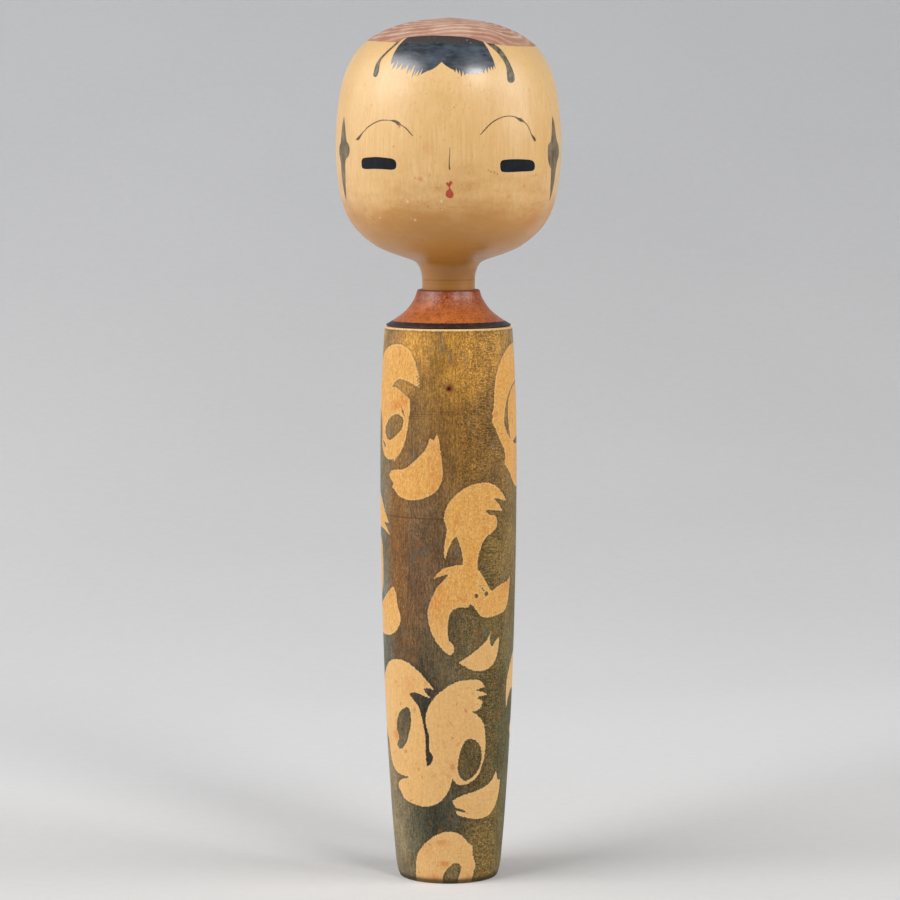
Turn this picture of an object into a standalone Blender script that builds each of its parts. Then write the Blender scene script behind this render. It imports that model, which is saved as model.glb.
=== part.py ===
"""Kokeshi doll, 303 mm tall: three pieces of turned wood that share one upright axis.

The head, its neck and its tenon are one turned piece. The tenon passes through the collar into a
socket in the body, where a bead on it runs in an undercut groove, so the head turns and stays in.
The collar is a ring glued over a spigot on top of the body.
Metres, +Z up. The origin is the middle of the base, and the face looks along -Y.
"""

import bpy

MM = 0.001

# Turning
SEGMENTS = 48
GAP = 0.3 * MM
MERGE = 0.02 * MM

# Overall
HEIGHT = 303 * MM

# Head: widest at its cheeks, a flat dome above and a quick turn in to the neck below
HEAD_RADIUS = 39.5 * MM
CHEEK_Z = 260 * MM
NECK_RADIUS = 9.4 * MM
NECK_TOP_Z = 213.5 * MM
HEAD_STEPS = 2

# Body: a long barrel, fullest above its middle, drawn in towards the foot
SHOULDER_Z = 195.5 * MM
SHOULDER_RADIUS = 22.4 * MM
BELLY_RADIUS = 24.05 * MM
BELLY_Z = 143 * MM
FOOT_RADIUS = 18.5 * MM
FOOT_ROUNDING_Z = 4.6 * MM
FOOT_ROUNDING = 1.2 * MM
SHOULDER_CHAMFER = 0.5 * MM
BODY_STEPS = 2

# Base: the doll stands on a flat ring round a shallow hollow, with the turner's centre mark in it
STAND_INNER_RADIUS = 13.5 * MM
HOLLOW_DEPTH = 1.2 * MM
CENTRE_MARK_RADIUS = 3 * MM
CENTRE_MARK_DEPTH = 1.0 * MM

# Spigot on the body, which holds the collar
SPIGOT_RADIUS = 13 * MM
SPIGOT_HEIGHT = 4.3 * MM

# Tenon under the neck, and its socket
TENON_RADIUS = 7 * MM
TENON_END_Z = 162 * MM
TENON_CHAMFER = 1.2 * MM
BEAD_RISE = 0.8 * MM
BEAD_Z = 175 * MM
BEAD_HALF_WIDTH = 1.6 * MM
SOCKET_CHAMFER = 0.8 * MM
SOCKET_SPARE_DEPTH = 2.5 * MM

# Collar
COLLAR_TOP_Z = 208.4 * MM
COLLAR_RIM_RADIUS = 11 * MM
COLLAR_SKIRT_RADIUS = 21.9 * MM
COLLAR_SKIRT_EDGE = 0.4 * MM
COLLAR_RIM_ROUNDING = 0.4 * MM
COLLAR_STEPS = 2


def smooth_through(points, steps):
    """Points on a Catmull-Rom curve through (radius, height) points, with steps to each span."""
    first = [2 * a - b for a, b in zip(points[0], points[1])]
    last = [2 * a - b for a, b in zip(points[-1], points[-2])]
    padded = [first, *points, last]
    curve = []
    for a, b, c, d in zip(padded, padded[1:], padded[2:], padded[3:]):
        for step in range(steps):
            t = step / steps
            curve.append(
                tuple(
                    0.5
                    * (
                        2 * q
                        + (r - p) * t
                        + (2 * p - 5 * q + 4 * r - s) * t**2
                        + (3 * q - p - 3 * r + s) * t**3
                    )
                    for p, q, r, s in zip(a, b, c, d)
                )
            )
    return [*curve, tuple(points[-1])]


def wood(name, colour, roughness):
    """A plain turned-wood material."""
    material = bpy.data.materials.new(name)
    material.use_nodes = True
    shader = material.node_tree.nodes["Principled BSDF"]
    shader.inputs["Base Color"].default_value = (*colour, 1)
    shader.inputs["Roughness"].default_value = roughness
    shader.inputs["Metallic"].default_value = 0
    return material


def turned(name, profile, material, collection, ring=False):
    """A solid of revolution about Z, from a profile that runs down its outer side.

    A ring's profile closes on itself, and any other starts and ends on the axis.
    """
    count = len(profile)
    edges = [(i, i + 1) for i in range(count - 1)]
    if ring:
        edges.append((count - 1, 0))
    mesh = bpy.data.meshes.new(name)
    mesh.from_pydata([(radius, 0, height) for radius, height in profile], edges, [])
    mesh.materials.append(material)
    piece = bpy.data.objects.new(name, mesh)
    collection.objects.link(piece)
    screw = piece.modifiers.new("lathe", "SCREW")
    screw.axis = "Z"
    screw.steps = SEGMENTS
    screw.render_steps = SEGMENTS
    screw.use_merge_vertices = True
    screw.merge_threshold = MERGE
    screw.use_smooth_shade = True
    return piece


def head_profile():
    """Down the dome and the cheeks, in to the neck, then down the tenon and its bead."""
    dome = [
        (0, HEIGHT),
        (0.33 * HEAD_RADIUS, HEIGHT - 1.6 * MM),
        (0.55 * HEAD_RADIUS, HEIGHT - 4.3 * MM),
        (0.735 * HEAD_RADIUS, HEIGHT - 8.6 * MM),
        (0.86 * HEAD_RADIUS, HEIGHT - 14.8 * MM),
        (0.955 * HEAD_RADIUS, HEIGHT - 25.2 * MM),
    ]
    cheeks = [
        (HEAD_RADIUS, CHEEK_Z),
        (0.976 * HEAD_RADIUS, CHEEK_Z - 14.5 * MM),
        (0.91 * HEAD_RADIUS, CHEEK_Z - 24.6 * MM),
        (0.80 * HEAD_RADIUS, CHEEK_Z - 31.3 * MM),
        (0.63 * HEAD_RADIUS, CHEEK_Z - 36.7 * MM),
        (0.44 * HEAD_RADIUS, CHEEK_Z - 39.8 * MM),
    ]
    throat = [
        (NECK_RADIUS + 3 * MM, NECK_TOP_Z + 5 * MM),
        (NECK_RADIUS + 1 * MM, NECK_TOP_Z + 3.1 * MM),
        (NECK_RADIUS, NECK_TOP_Z),
    ]
    neck_end = SHOULDER_Z + SPIGOT_HEIGHT + GAP
    tenon = [
        (NECK_RADIUS, neck_end),
        (TENON_RADIUS, neck_end),
        (TENON_RADIUS, BEAD_Z + BEAD_HALF_WIDTH),
        (TENON_RADIUS + BEAD_RISE, BEAD_Z),
        (TENON_RADIUS, BEAD_Z - BEAD_HALF_WIDTH),
        (TENON_RADIUS, TENON_END_Z + TENON_CHAMFER),
        (TENON_RADIUS - TENON_CHAMFER, TENON_END_Z),
        (0, TENON_END_Z),
    ]
    return smooth_through(dome + cheeks + throat, HEAD_STEPS) + tenon


def collar_profile():
    """Out over the rim, down the hollow flare to the skirt, then back up the counterbore and the bore."""
    bottom = SHOULDER_Z + GAP
    skirt_top = bottom + COLLAR_SKIRT_EDGE
    rise = COLLAR_TOP_Z - COLLAR_RIM_ROUNDING - skirt_top
    flare = [
        (COLLAR_RIM_RADIUS, skirt_top + rise),
        (COLLAR_RIM_RADIUS + 0.6 * MM, skirt_top + 0.84 * rise),
        (COLLAR_RIM_RADIUS + 1.4 * MM, skirt_top + 0.70 * rise),
        (COLLAR_RIM_RADIUS + 3.8 * MM, skirt_top + 0.42 * rise),
        (COLLAR_RIM_RADIUS + 7.9 * MM, skirt_top + 0.15 * rise),
        (COLLAR_SKIRT_RADIUS, skirt_top),
    ]
    bore = NECK_RADIUS + GAP
    counterbore = SPIGOT_RADIUS + GAP
    ledge = SHOULDER_Z + SPIGOT_HEIGHT + GAP
    rim = [
        (bore, COLLAR_TOP_Z),
        (COLLAR_RIM_RADIUS - COLLAR_RIM_ROUNDING, COLLAR_TOP_Z),
    ]
    inside = [
        (COLLAR_SKIRT_RADIUS, bottom),
        (counterbore, bottom),
        (counterbore, ledge),
        (bore, ledge),
    ]
    return rim + smooth_through(flare, COLLAR_STEPS) + inside


def body_profile():
    """Up the socket and over the spigot, down the barrel to the foot, then in under the base."""
    socket = TENON_RADIUS + GAP
    floor = TENON_END_Z - SOCKET_SPARE_DEPTH
    spigot_top = SHOULDER_Z + SPIGOT_HEIGHT
    inside = [
        (0, floor),
        (socket, floor),
        (socket, BEAD_Z - BEAD_HALF_WIDTH - GAP),
        (socket + BEAD_RISE, BEAD_Z),
        (socket, BEAD_Z + BEAD_HALF_WIDTH + GAP),
        (socket, spigot_top - SOCKET_CHAMFER),
        (socket + SOCKET_CHAMFER, spigot_top),
    ]
    spigot = [
        (SPIGOT_RADIUS, spigot_top),
        (SPIGOT_RADIUS, SHOULDER_Z),
        (SHOULDER_RADIUS - SHOULDER_CHAMFER, SHOULDER_Z),
    ]
    barrel = [
        (SHOULDER_RADIUS, SHOULDER_Z - SHOULDER_CHAMFER),
        (0.965 * BELLY_RADIUS, SHOULDER_Z - 13 * MM),
        (0.99 * BELLY_RADIUS, BELLY_Z + 24 * MM),
        (BELLY_RADIUS, BELLY_Z),
        (0.985 * BELLY_RADIUS, BELLY_Z - 35 * MM),
        (0.945 * BELLY_RADIUS, BELLY_Z - 70 * MM),
        (0.90 * BELLY_RADIUS, BELLY_Z - 95 * MM),
        (FOOT_RADIUS + 1.3 * MM, 19 * MM),
        (FOOT_RADIUS, FOOT_ROUNDING_Z),
    ]
    foot = [
        (FOOT_RADIUS - 0.5 * FOOT_ROUNDING, 0.35 * FOOT_ROUNDING_Z),
        (FOOT_RADIUS - FOOT_ROUNDING, 0),
    ]
    base = [
        (STAND_INNER_RADIUS, 0),
        (CENTRE_MARK_RADIUS, HOLLOW_DEPTH),
        (CENTRE_MARK_RADIUS, HOLLOW_DEPTH + CENTRE_MARK_DEPTH),
        (0, HOLLOW_DEPTH + CENTRE_MARK_DEPTH),
    ]
    return inside + spigot + smooth_through(barrel, BODY_STEPS) + foot + base


def clear_scene():
    for old in list(bpy.data.objects):
        bpy.data.objects.remove(old)


def build_doll():
    doll = bpy.data.collections.new("kokeshi_doll")
    bpy.context.scene.collection.children.link(doll)
    pale_wood = wood("pale_waxed_wood", (0.72, 0.50, 0.24), 0.35)
    red_wood = wood("red_stained_wood", (0.42, 0.14, 0.05), 0.35)
    dark_wood = wood("olive_stained_wood", (0.26, 0.17, 0.07), 0.5)
    turned("head", head_profile(), pale_wood, doll)
    turned("collar", collar_profile(), red_wood, doll, ring=True)
    turned("body", body_profile(), dark_wood, doll)


clear_scene()
build_doll()
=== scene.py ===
"""Looks of a turned wooden kokeshi doll, 303 mm tall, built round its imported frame.

Metres, +Z up, the face towards -Y. Azimuth is in degrees round +Z, from 0 at the face, towards +X.
The head and its neck, the collar and the body are turned from the frame's own outlines. The painted
hair, brows, eyes, nose and lips are thin films of paint that follow the head. The bare wood
strokes on the body are held as a distance to the nearest stroke edge, which the stain reads.
"""

import math
import random
from functools import lru_cache

import bpy
import numpy as np
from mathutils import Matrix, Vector


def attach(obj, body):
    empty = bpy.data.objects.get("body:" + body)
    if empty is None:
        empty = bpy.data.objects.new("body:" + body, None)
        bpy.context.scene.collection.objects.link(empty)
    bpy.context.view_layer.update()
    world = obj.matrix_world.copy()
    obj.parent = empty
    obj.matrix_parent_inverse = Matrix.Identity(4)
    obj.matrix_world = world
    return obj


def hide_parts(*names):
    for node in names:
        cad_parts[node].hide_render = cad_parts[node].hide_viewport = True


bl_info = {
    "name": "Kokeshi Doll",
    "version": (1, 0, 0),
    "blender": (4, 5, 0),
    "location": "3D View > Sidebar > Kokeshi",
    "description": "Builds the turned, stained and painted pieces of a kokeshi doll",
    "category": "Add Mesh",
}

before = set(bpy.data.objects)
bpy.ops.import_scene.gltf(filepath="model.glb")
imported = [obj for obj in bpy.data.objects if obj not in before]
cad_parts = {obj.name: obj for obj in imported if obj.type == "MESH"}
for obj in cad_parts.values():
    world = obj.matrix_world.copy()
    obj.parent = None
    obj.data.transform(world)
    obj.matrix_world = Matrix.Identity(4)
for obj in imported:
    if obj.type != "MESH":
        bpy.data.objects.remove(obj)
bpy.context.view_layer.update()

MM = 0.001
HEAD, COLLAR, BODY = "turned_head", "shoulder_collar", "turned_body"
HEAD_BODY, TRUNK_BODY = "doll_head", "doll_body"
MERGE = 0.002 * MM
FAR = 6.0  # mm, the furthest that a stroke's edge is measured
SAME_PLACE = 1e-4  # mm or degrees, nearer than this two points of an outline are one
SMOOTH_ANGLE = math.radians(32)
CORNER = 24  # degrees, the least turn of a turned outline that counts as a corner
BODY_DEGREE = math.radians(1) * 23.0  # mm to a degree round the body
HEAD_DEGREE = math.radians(1) * 39  # mm to a degree round the head
NECK_TOP = 213  # mm, above this the head's outside has one radius to each height
HIDDEN_ROWS = 4.0  # mm, spacing of the rows on hidden and straight runs
COLLAR_HIDDEN_ROWS = 3.0  # mm
ARRIS_Z = 194.9  # mm, above this the body's top edge is worn to bare wood
SHOULDER_FACE_Z = 195.2  # mm, above this the shoulder is bare wood
SPIGOT_REACH = 13.6  # mm, the spigot and the socket lie within this radius and are unstained
BASE_REACH = 17.2  # mm, within this radius the underside is unstained
CHIPPED = (0.62, 0.58, 0.52)  # bare ground where the fringe's paint has chipped
CAMERA_ASIDE = 0.53 * MM
WARM, PLAIN = (1.0, 0.985, 0.97), (1.0, 1.0, 1.0)
DOLL_MIDDLE = (0, 0, 0.17)

# Softboxes: (name, azimuth, elevation, distance m, side m, colour)
SOFTBOXES = [
    ("key", 33, 39, 0.95, 0.24, WARM),
    ("left", -62, 32, 2.0, 1.4, PLAIN),
    ("edge", -100, 20, 1.8, 1.2, PLAIN),
    ("right", 75, 24, 2.0, 1.2, PLAIN),
]


# ---------------------------------------------------------------- curves


def smooth_through(points, spacing, closed=False):
    """Points about one spacing apart on a smooth curve through the given points."""
    p = np.array(points, float)
    if closed:
        if np.allclose(p[0], p[-1]):
            p = p[:-1]
        p = np.vstack([p[-2:], p, p[:2]])
    gaps = np.maximum(np.sqrt(np.linalg.norm(np.diff(p, axis=0), axis=1)), 1e-9)
    t = np.concatenate([[0], np.cumsum(gaps)])
    slopes = np.diff(p, axis=0) / gaps[:, None]
    tangent = np.empty_like(p)
    tangent[0], tangent[-1] = slopes[0], slopes[-1]
    left, right = gaps[:-1, None], gaps[1:, None]
    tangent[1:-1] = (slopes[:-1] * right + slopes[1:] * left) / (left + right)
    spans = range(2, len(p) - 2) if closed else range(len(p) - 1)
    curve = []
    for i in spans:
        steps = max(1, round(np.linalg.norm(p[i + 1] - p[i]) / spacing))
        for step in range(steps):
            s = step / steps
            h = t[i + 1] - t[i]
            curve.append(
                (2 * s**3 - 3 * s**2 + 1) * p[i]
                + (s**3 - 2 * s**2 + s) * h * tangent[i]
                + (3 * s**2 - 2 * s**3) * p[i + 1]
                + (s**3 - s**2) * h * tangent[i + 1]
            )
    if not closed:
        curve.append(p[-1])
    return [tuple(c) for c in curve]


def bristles(start, end, count, length, lean, rng):
    """A dry brush's end between two points: count thin teeth about that long, leaning that way."""
    a, b = np.array(start, float), np.array(end, float)
    way = np.array([math.cos(math.radians(lean)), math.sin(math.radians(lean))])
    teeth = []
    for i in range(count):
        reach = length * rng.uniform(0.5, 1.0)
        wide = rng.uniform(0.5, 0.85)
        foot = a + (b - a) * (i + 0.5 - wide / 2) / count
        heel = a + (b - a) * (i + 0.5 + wide / 2) / count
        tip = (foot + heel) / 2 + way * reach
        cut = -way * length * rng.uniform(0.05, 0.3)
        teeth += [foot + cut, tip - way * reach * 0.25 + (foot - heel) * 0.12, tip, heel]
    return [tuple(t) for t in teeth]


def outline(runs, spacing, seed, to_mm=1.0):
    """A closed outline from its runs: a list is a smooth run, a tuple is a row of bristles.

    Each run goes on from the end of the one before. to_mm turns the first coordinate into
    millimetres while a run is drawn.
    """
    rng = random.Random(seed)
    points = []
    reached = []
    for run in runs:
        if isinstance(run, tuple):
            end, count, length, lean = run
            start = (points[-1][0] * to_mm, points[-1][1])
            teeth = bristles(start, (end[0] * to_mm, end[1]), count, length, lean, rng)
            points += [(x / to_mm, z) for x, z in teeth] + [end]
            reached = [end]
        else:
            scaled = [(x * to_mm, z) for x, z in reached + run]
            curve = smooth_through(scaled, spacing)
            points += [(x / to_mm, z) for x, z in curve]
            reached = [run[-1]]
    return [p for p, q in zip(points, points[1:] + points[:1]) if math.dist(p, q) > SAME_PLACE]


def brush_line(path, spacing):
    """The outline of a brush line from its centre line, given as (x, z, half width)."""
    curve = np.array(smooth_through(path, spacing))
    along = np.gradient(curve[:, :2], axis=0)
    along /= np.linalg.norm(along, axis=1)[:, None]
    across = np.stack([-along[:, 1], along[:, 0]], axis=1) * curve[:, 2:3]
    quarter = [math.radians(a) for a in (35, 65, 90, 115, 145)]

    def round_end(point, side, ahead):
        return [point[:2] + side * math.cos(a) + ahead * point[2] * math.sin(a) for a in quarter]

    last = round_end(curve[-1], across[-1], along[-1])
    first = round_end(curve[0], -across[0], -along[0])
    one_side = curve[:, :2] + across
    other_side = (curve[:, :2] - across)[::-1]
    return [tuple(q) for q in (*one_side, *last, *other_side, *first)]


def sharp(points):
    """A straight run to each point in turn, for teeth drawn one by one."""
    return [[point] for point in points]


# ---------------------------------------------------------------- stroke shapes on the body
# Each stroke is (runs, holes), with points as (azimuth in degrees, height in mm). A run starts where
# the one before it ends, and a row of bristles is (end, count, length mm, lean in degrees).

CURL_TOP_LEFT = (
    [
        [(-92, 178.5), (-84, 184.3), (-70, 188), (-51, 190), (-37, 188.4), (-30.5, 184.6)],
        ((-27.5, 180.3), 4, 2.0, -42),
        ((-28, 175.6), 4, 3.2, -40),
        [(-35, 177), (-46, 178), (-52, 177), (-57, 175)],
        [(-50, 174.8), (-42, 173.2), (-35, 171.4)],
        [(-34, 169.3), (-35.2, 164), (-38, 157.8), (-43, 153.1), (-50, 149.9)],
        ((-62, 149.6), 4, 1.8, -105),
        [(-69.6, 151), (-75, 154), (-75, 160), (-80, 165), (-89, 168.5), (-94, 173.5), (-92, 178.5)],
    ],
    [
        [(-48, 165.8), (-41, 164), (-43, 160.6), (-50, 158.1), (-60, 156.3), (-67, 159.3), (-60, 163.6)],
        [(-44, 168.5), (-41, 167.1), (-39.3, 164.9), (-42, 166.2)],
        [(-73, 156), (-68, 155.2), (-64, 153.4), (-69, 154)],
    ],
)

CRESCENT_LEFT = (
    [
        [(-9.6, 160), (-7.3, 156), (-5.7, 150.2), (-4.8, 144.5), (-8, 140.5)],
        [(-16, 137.8), (-32, 136.1), (-45, 137.1), (-51, 139)],
        [(-55.5, 140.1)],
        [(-52.5, 141.2), (-57, 142.8)],
        [(-59, 144.2), (-56, 145.7), (-48, 146.3), (-40, 146.8), (-28, 150.2), (-18, 155), (-15.7, 158.3)],
        [(-12.3, 156.9)],
        [(-9.6, 160)],
    ],
    [],
)

CURL_TOP_RIGHT = (
    [
        [
            (108, 177), (104, 183), (95, 188), (84, 189.7), (68, 189), (56, 186), (47, 181), (42.8, 175.5),
            (41.6, 168),
        ],
        [(39.1, 165.8)],
        [(40.8, 165), (38.6, 163.9)],
        [(43, 160.6), (49, 156.4), (53.8, 153.3), (55.4, 150.6), (54.2, 148.1)],
        [
            (62, 145.2), (71.6, 140.7), (80, 139.3), (92, 140.5), (98.5, 145), (97, 151), (90, 154.2),
            (84, 154.8),
        ],
        [(75, 154.5), (69.3, 155.8)],
        [(84, 157.2), (96, 159), (106, 164), (109, 170)],
        ((108, 177), 5, 2.4, 20),
    ],
    [
        [
            (90, 177), (78, 176.4), (68, 174.6), (60, 171.3), (55, 166), (54.6, 161.8), (59, 158.9),
            (64.5, 156.5), (62, 160.5), (60.4, 165.5), (62.5, 170.6), (70, 174.3), (80, 175.6),
        ],
    ],
)

CURL_BACK_LEFT = (
    [
        [
            (-126, 120), (-125, 128), (-119, 134), (-105, 138.5), (-90, 137.8), (-77, 135.5), (-67, 130.5),
            (-60, 127.2),
        ],
        [(-66, 127.1), (-72, 127.5)],
        [(-64, 125.3), (-57.5, 122.5)],
        [(-70, 124.6), (-86, 124.8), (-93, 122.8)],
        [(-86, 121.6), (-79, 120.5), (-75.5, 116), (-74.5, 110), (-76.5, 104.5), (-83, 101)],
        [(-95, 100.5), (-110, 103), (-121, 111), (-126, 120)],
    ],
    [[(-98, 119), (-90, 116), (-88, 110), (-95, 106.5), (-106, 108), (-110, 114), (-106, 118.5)]],
)

COMMA = (
    [
        [(-3.8, 114.2), (-3.3, 121), (-1.4, 126.5), (-3.8, 130), (-1.5, 134), (3.5, 137.2), (12.7, 140.5)],
        [(22, 141.9), (33, 142.2), (43, 140.8), (51.6, 138), (57.7, 134.9)],
        [(48, 136.1), (39.3, 136.7)],
        [(46, 134.6), (52.7, 131.5)],
        [(45, 132.2), (31.6, 132.8)],
        [
            (36, 130.9), (42.7, 130.4), (45.2, 127.8), (42.5, 125.5), (34, 123.4), (28.5, 120), (25, 115),
            (25.4, 111.3),
        ],
        [(18, 109), (11.6, 111.8)],
        [(12.2, 115.5), (10.5, 119.5), (6.6, 124)],
        [(3.8, 122.7), (0, 119.5), (-3.8, 114.2)],
    ],
    [],
)

RING = (
    [
        [(26, 112), (11.6, 113.8), (0, 113.2), (-7, 111.8), (-13.4, 108.6)],
        [(-7, 109.9), (1, 111.1)],
        [
            (-3.5, 108.8), (-10, 105.7), (-15.5, 101), (-18, 96.8), (-15.5, 91), (-9, 86), (-3, 83.3),
            (1.5, 82),
        ],
        [(4.6, 83.3), (4.3, 85.6), (0.5, 87.3), (-0.6, 90), (-0.2, 94), (2.5, 97.6), (9, 98.9), (16, 98.7)],
        [(19.3, 100.2)],
        [
            (24, 98), (28.5, 95.6), (36, 94.8), (47, 95.4), (57, 96.5), (62, 99.5), (65, 105.5),
            (65.6, 108.8),
        ],
        [(61, 107), (50.4, 105.9), (39.3, 104)],
        [(33.8, 107.2), (26, 112)],
    ],
    [
        [(25.2, 108), (30, 105.5), (36, 103.2), (30, 104.7)],
        [(31.8, 103.2), (34, 104.2), (36.4, 103.4), (34.2, 102.2)],
        [(22.2, 102.5), (24.3, 103.7), (26.7, 102.8), (24.5, 101.8)],
    ],
)

SMALL_CRESCENT = (
    [
        [(39.9, 90.2), (38.6, 87), (39.2, 85.5), (41.6, 84.2)],
        [(45, 86), (49.9, 87.6)],
        [(48.6, 82.5), (43.5, 78.3), (34, 76.3), (22, 76.6), (8.6, 79.4)],
        [(16, 81.2), (27, 84.2), (34.5, 86.6), (39.9, 90.2)],
    ],
    [],
)

LEAF_LEFT = (
    [
        [
            (-55, 105.3), (-66, 102), (-80, 98.6), (-92, 97), (-101, 94), (-101, 90.5), (-92, 88),
            (-78, 87.2), (-64, 87.4),
        ],
        [(-54, 88.8), (-47.5, 91.8), (-45.8, 95), (-49.5, 98.6), (-51, 102.5), (-55, 105.3)],
    ],
    [],
)

GREAT_CURL_LEFT = (
    [
        [(-21, 42.2), (-21.6, 47), (-21.6, 52), (-23.8, 58), (-28, 63.4), (-34, 66.2), (-38.4, 68.1)],
        [(-30, 68.4), (-21.8, 67.4), (-15, 66.5)],
        [(-20, 68.4), (-22.9, 70.2)],
        [(-17.3, 70.3), (-12, 69.5)],
        [
            (-18.4, 72.4), (-28, 76.3), (-40, 79), (-51, 79.4), (-64, 78.1), (-76, 74.4), (-86, 69.5),
            (-91, 62),
        ],
        [
            (-89, 55), (-80, 51.5), (-74.5, 49), (-73, 45.5), (-68, 41.2), (-60, 38.9), (-50, 38.1),
            (-39.6, 37.8),
        ],
        [(-48, 36.9), (-54.5, 36), (-57.7, 34), (-52.5, 31.3), (-49.5, 29.8)],
        [(-38, 28.4), (-22, 27.9), (-9.6, 29.5), (-2.5, 32.3), (1.5, 35), (3.8, 38.2)],
        [(-4, 46), (-14, 44)],
        [(-21, 42.2)],
    ],
    [[
        (-39.6, 62.9), (-36.2, 60), (-38, 54.8), (-44, 49.5), (-52, 47.3), (-55.9, 48.6), (-52.6, 51.5),
        (-55.7, 55), (-51, 60.2),
    ]],
)

GREAT_CURL_RIGHT = (
    [
        [(-20.9, 41.9), (-15.7, 44.1), (-14, 46)],
        [
            (-17.8, 48.3), (-18, 53.5), (-21, 58), (-19.5, 62.3), (-13, 66.8), (-3, 70.4), (8, 72.7),
            (20.4, 73.3),
        ],
        [(29, 72.7), (35.4, 70)],
        [(30, 70), (25, 69.4)],
        [(32, 68.6), (38.4, 67.2)],
        [(32, 67.3), (25.5, 66.7)],
        [(32.5, 65.3)],
        [(29, 62.6), (21.6, 61.9)],
        [
            (28, 60.1), (34, 56.8), (36.3, 51), (36, 46), (32.7, 41.6), (28.5, 38.6), (18.2, 36.2),
            (9.5, 36.1), (3.8, 38.2),
        ],
        [(-10, 36), (-20.9, 41.9)],
    ],
    [[
        (14.9, 51.2), (19.3, 52.3), (25, 51.7), (30.6, 49.4), (32.7, 45.7), (30.5, 41.8), (24, 38.6),
        (16, 37.3), (11, 38.9), (8.8, 41.5), (10.4, 47),
    ]],
)

LOW_CRESCENT = (
    [
        [(52, 39.4), (46, 36.3), (36, 34.3), (24, 33), (14, 32.2), (3.8, 30.3)],
        [(5, 29), (8, 27.7)],
        [(14, 27), (19.3, 25.7)],
        [(12, 26.3), (7, 26.7)],
        [(8.8, 25.3), (20, 23.9), (34, 23.2), (46, 24.3), (54, 27.1), (59, 31.4), (60, 36.1)],
        [(57, 36), (54.5, 36.7)],
        [(54, 38), (52, 39.4)],
    ],
    [],
)

HOOK_RIGHT = (
    [
        [(65.2, 61.5), (63.9, 66), (66, 72.5), (72, 77), (80.4, 80.2), (92, 81), (102, 77.5), (108, 71)],
        ((88, 67.7), 5, 2.2, -75),
        [(76, 67.3), (69.5, 65), (65.2, 61.5)],
    ],
    [],
)

TOE = ([[(77.5, 53), (84, 55.8), (93, 56), (98, 53), (92, 50.5), (84, 50.6), (77.5, 53)]], [])

FOOT_ARCH = (
    [
        [
            (-39.8, -1), (-38.2, 4.5), (-35, 9.9), (-27.3, 13.7), (-15, 17.2), (-1.8, 19.1), (10, 18.4),
            (17.5, 16.4),
        ],
        [(20, 15.1), (25.8, 13.7)],
        [(26.5, 10.5), (30.5, 6), (28.2, 3.5), (27, -1)],
        [(10.4, -1)],
        [(11.5, 3), (13.9, 5), (12.2, 7.2), (7, 7.8), (1, 6.4), (-5, 3.8), (-7.3, -1)],
        [(-39.8, -1)],
    ],
    [],
)

FRONT_STROKES = [CURL_TOP_LEFT, CRESCENT_LEFT, CURL_TOP_RIGHT, CURL_BACK_LEFT, COMMA, RING, SMALL_CRESCENT]
FRONT_STROKES += [LEAF_LEFT, GREAT_CURL_LEFT, GREAT_CURL_RIGHT, LOW_CRESCENT, HOOK_RIGHT, TOE, FOOT_ARCH]

# (stroke, seed, turn, mirrored, lift): the strokes in front, then the same shapes on the back
STROKES_SET_OUT = [(stroke, seed, 0, False, 0) for seed, stroke in enumerate(FRONT_STROKES, 1)]
STROKES_SET_OUT += [
    (CURL_TOP_LEFT, 21, 112, True, -1),
    (CRESCENT_LEFT, 22, -97, False, 12),
    (RING, 23, 148, False, 13),
    (SMALL_CRESCENT, 24, 170, False, -14),
    (GREAT_CURL_RIGHT, 25, 148, True, 4),
    (LOW_CRESCENT, 26, 106, False, 0),
    (LEAF_LEFT, 27, 134, True, -52),
    (FOOT_ARCH, 28, 176, True, 0),
]

# Stain, painted sheen and blush: (azimuth, height mm, half width in degrees, half height mm, sRGB colour,
# weight)
STAIN_AND_SHEEN_PATCHES = [
    # Most patches are the stain's own uneven colour; the pale grey and blue-grey patches near the left and
    # right edges are painted reflection of the room at grazing angles.
    (0, 190, 50, 12, (200, 148, 76), 3.5),
    (-64, 188, 10, 12, (134, 114, 88), 3.5),
    (72, 186, 12, 14, (134, 118, 92), 2.5),
    (5, 163, 30, 15, (128, 90, 44), 3.0),
    (-22, 145, 14, 26, (120, 96, 68), 2.5),
    (-24, 112, 16, 16, (100, 72, 54), 3.0),
    (-50, 122, 9, 16, (132, 86, 40), 2.5),
    (-68, 142, 8, 16, (128, 110, 80), 2.0),
    # blue-grey at the left edge: painted reflection of the room, not stain
    (-80, 112, 10, 22, (90, 108, 106), 3.5),
    (-40, 92, 9, 14, (108, 76, 44), 2.0),
    (-76, 84, 12, 8, (108, 104, 86), 2.0),
    (-12, 80, 12, 12, (94, 84, 64), 4.0),
    (10, 90, 14, 12, (96, 84, 58), 2.0),
    (40, 150, 14, 18, (128, 98, 54), 2.0),
    (42, 112, 16, 14, (104, 86, 46), 2.0),
    (62, 120, 12, 40, (136, 114, 74), 2.0),
    (46, 62, 10, 22, (90, 80, 48), 3.0),
    (66, 48, 10, 26, (66, 74, 50), 4.0),
    (78, 30, 12, 30, (92, 92, 66), 1.5),
    (22, 46, 12, 8, (92, 78, 50), 2.5),
    (-46, 56, 10, 10, (92, 82, 64), 2.5),
    (-20, 56, 6, 13, (30, 33, 30), 14.0),
    (-27, 68, 8, 5, (34, 38, 34), 9.0),
    (4, 34, 7, 4, (58, 58, 46), 3.0),
    (-14, 23, 18, 6, (52, 56, 48), 5.0),
    (-34, 17, 9, 8, (84, 82, 62), 2.0),
    (-66, 20, 16, 20, (136, 124, 98), 2.5),
    (48, 9, 18, 14, (124, 102, 58), 2.5),
    (8, 2, 10, 8, (104, 92, 66), 2.0),
    (150, 100, 40, 90, (112, 94, 58), 1.5),
    (-150, 60, 40, 50, (96, 86, 60), 1.5),
    (-140, 160, 40, 30, (140, 108, 62), 1.5),
]

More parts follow.
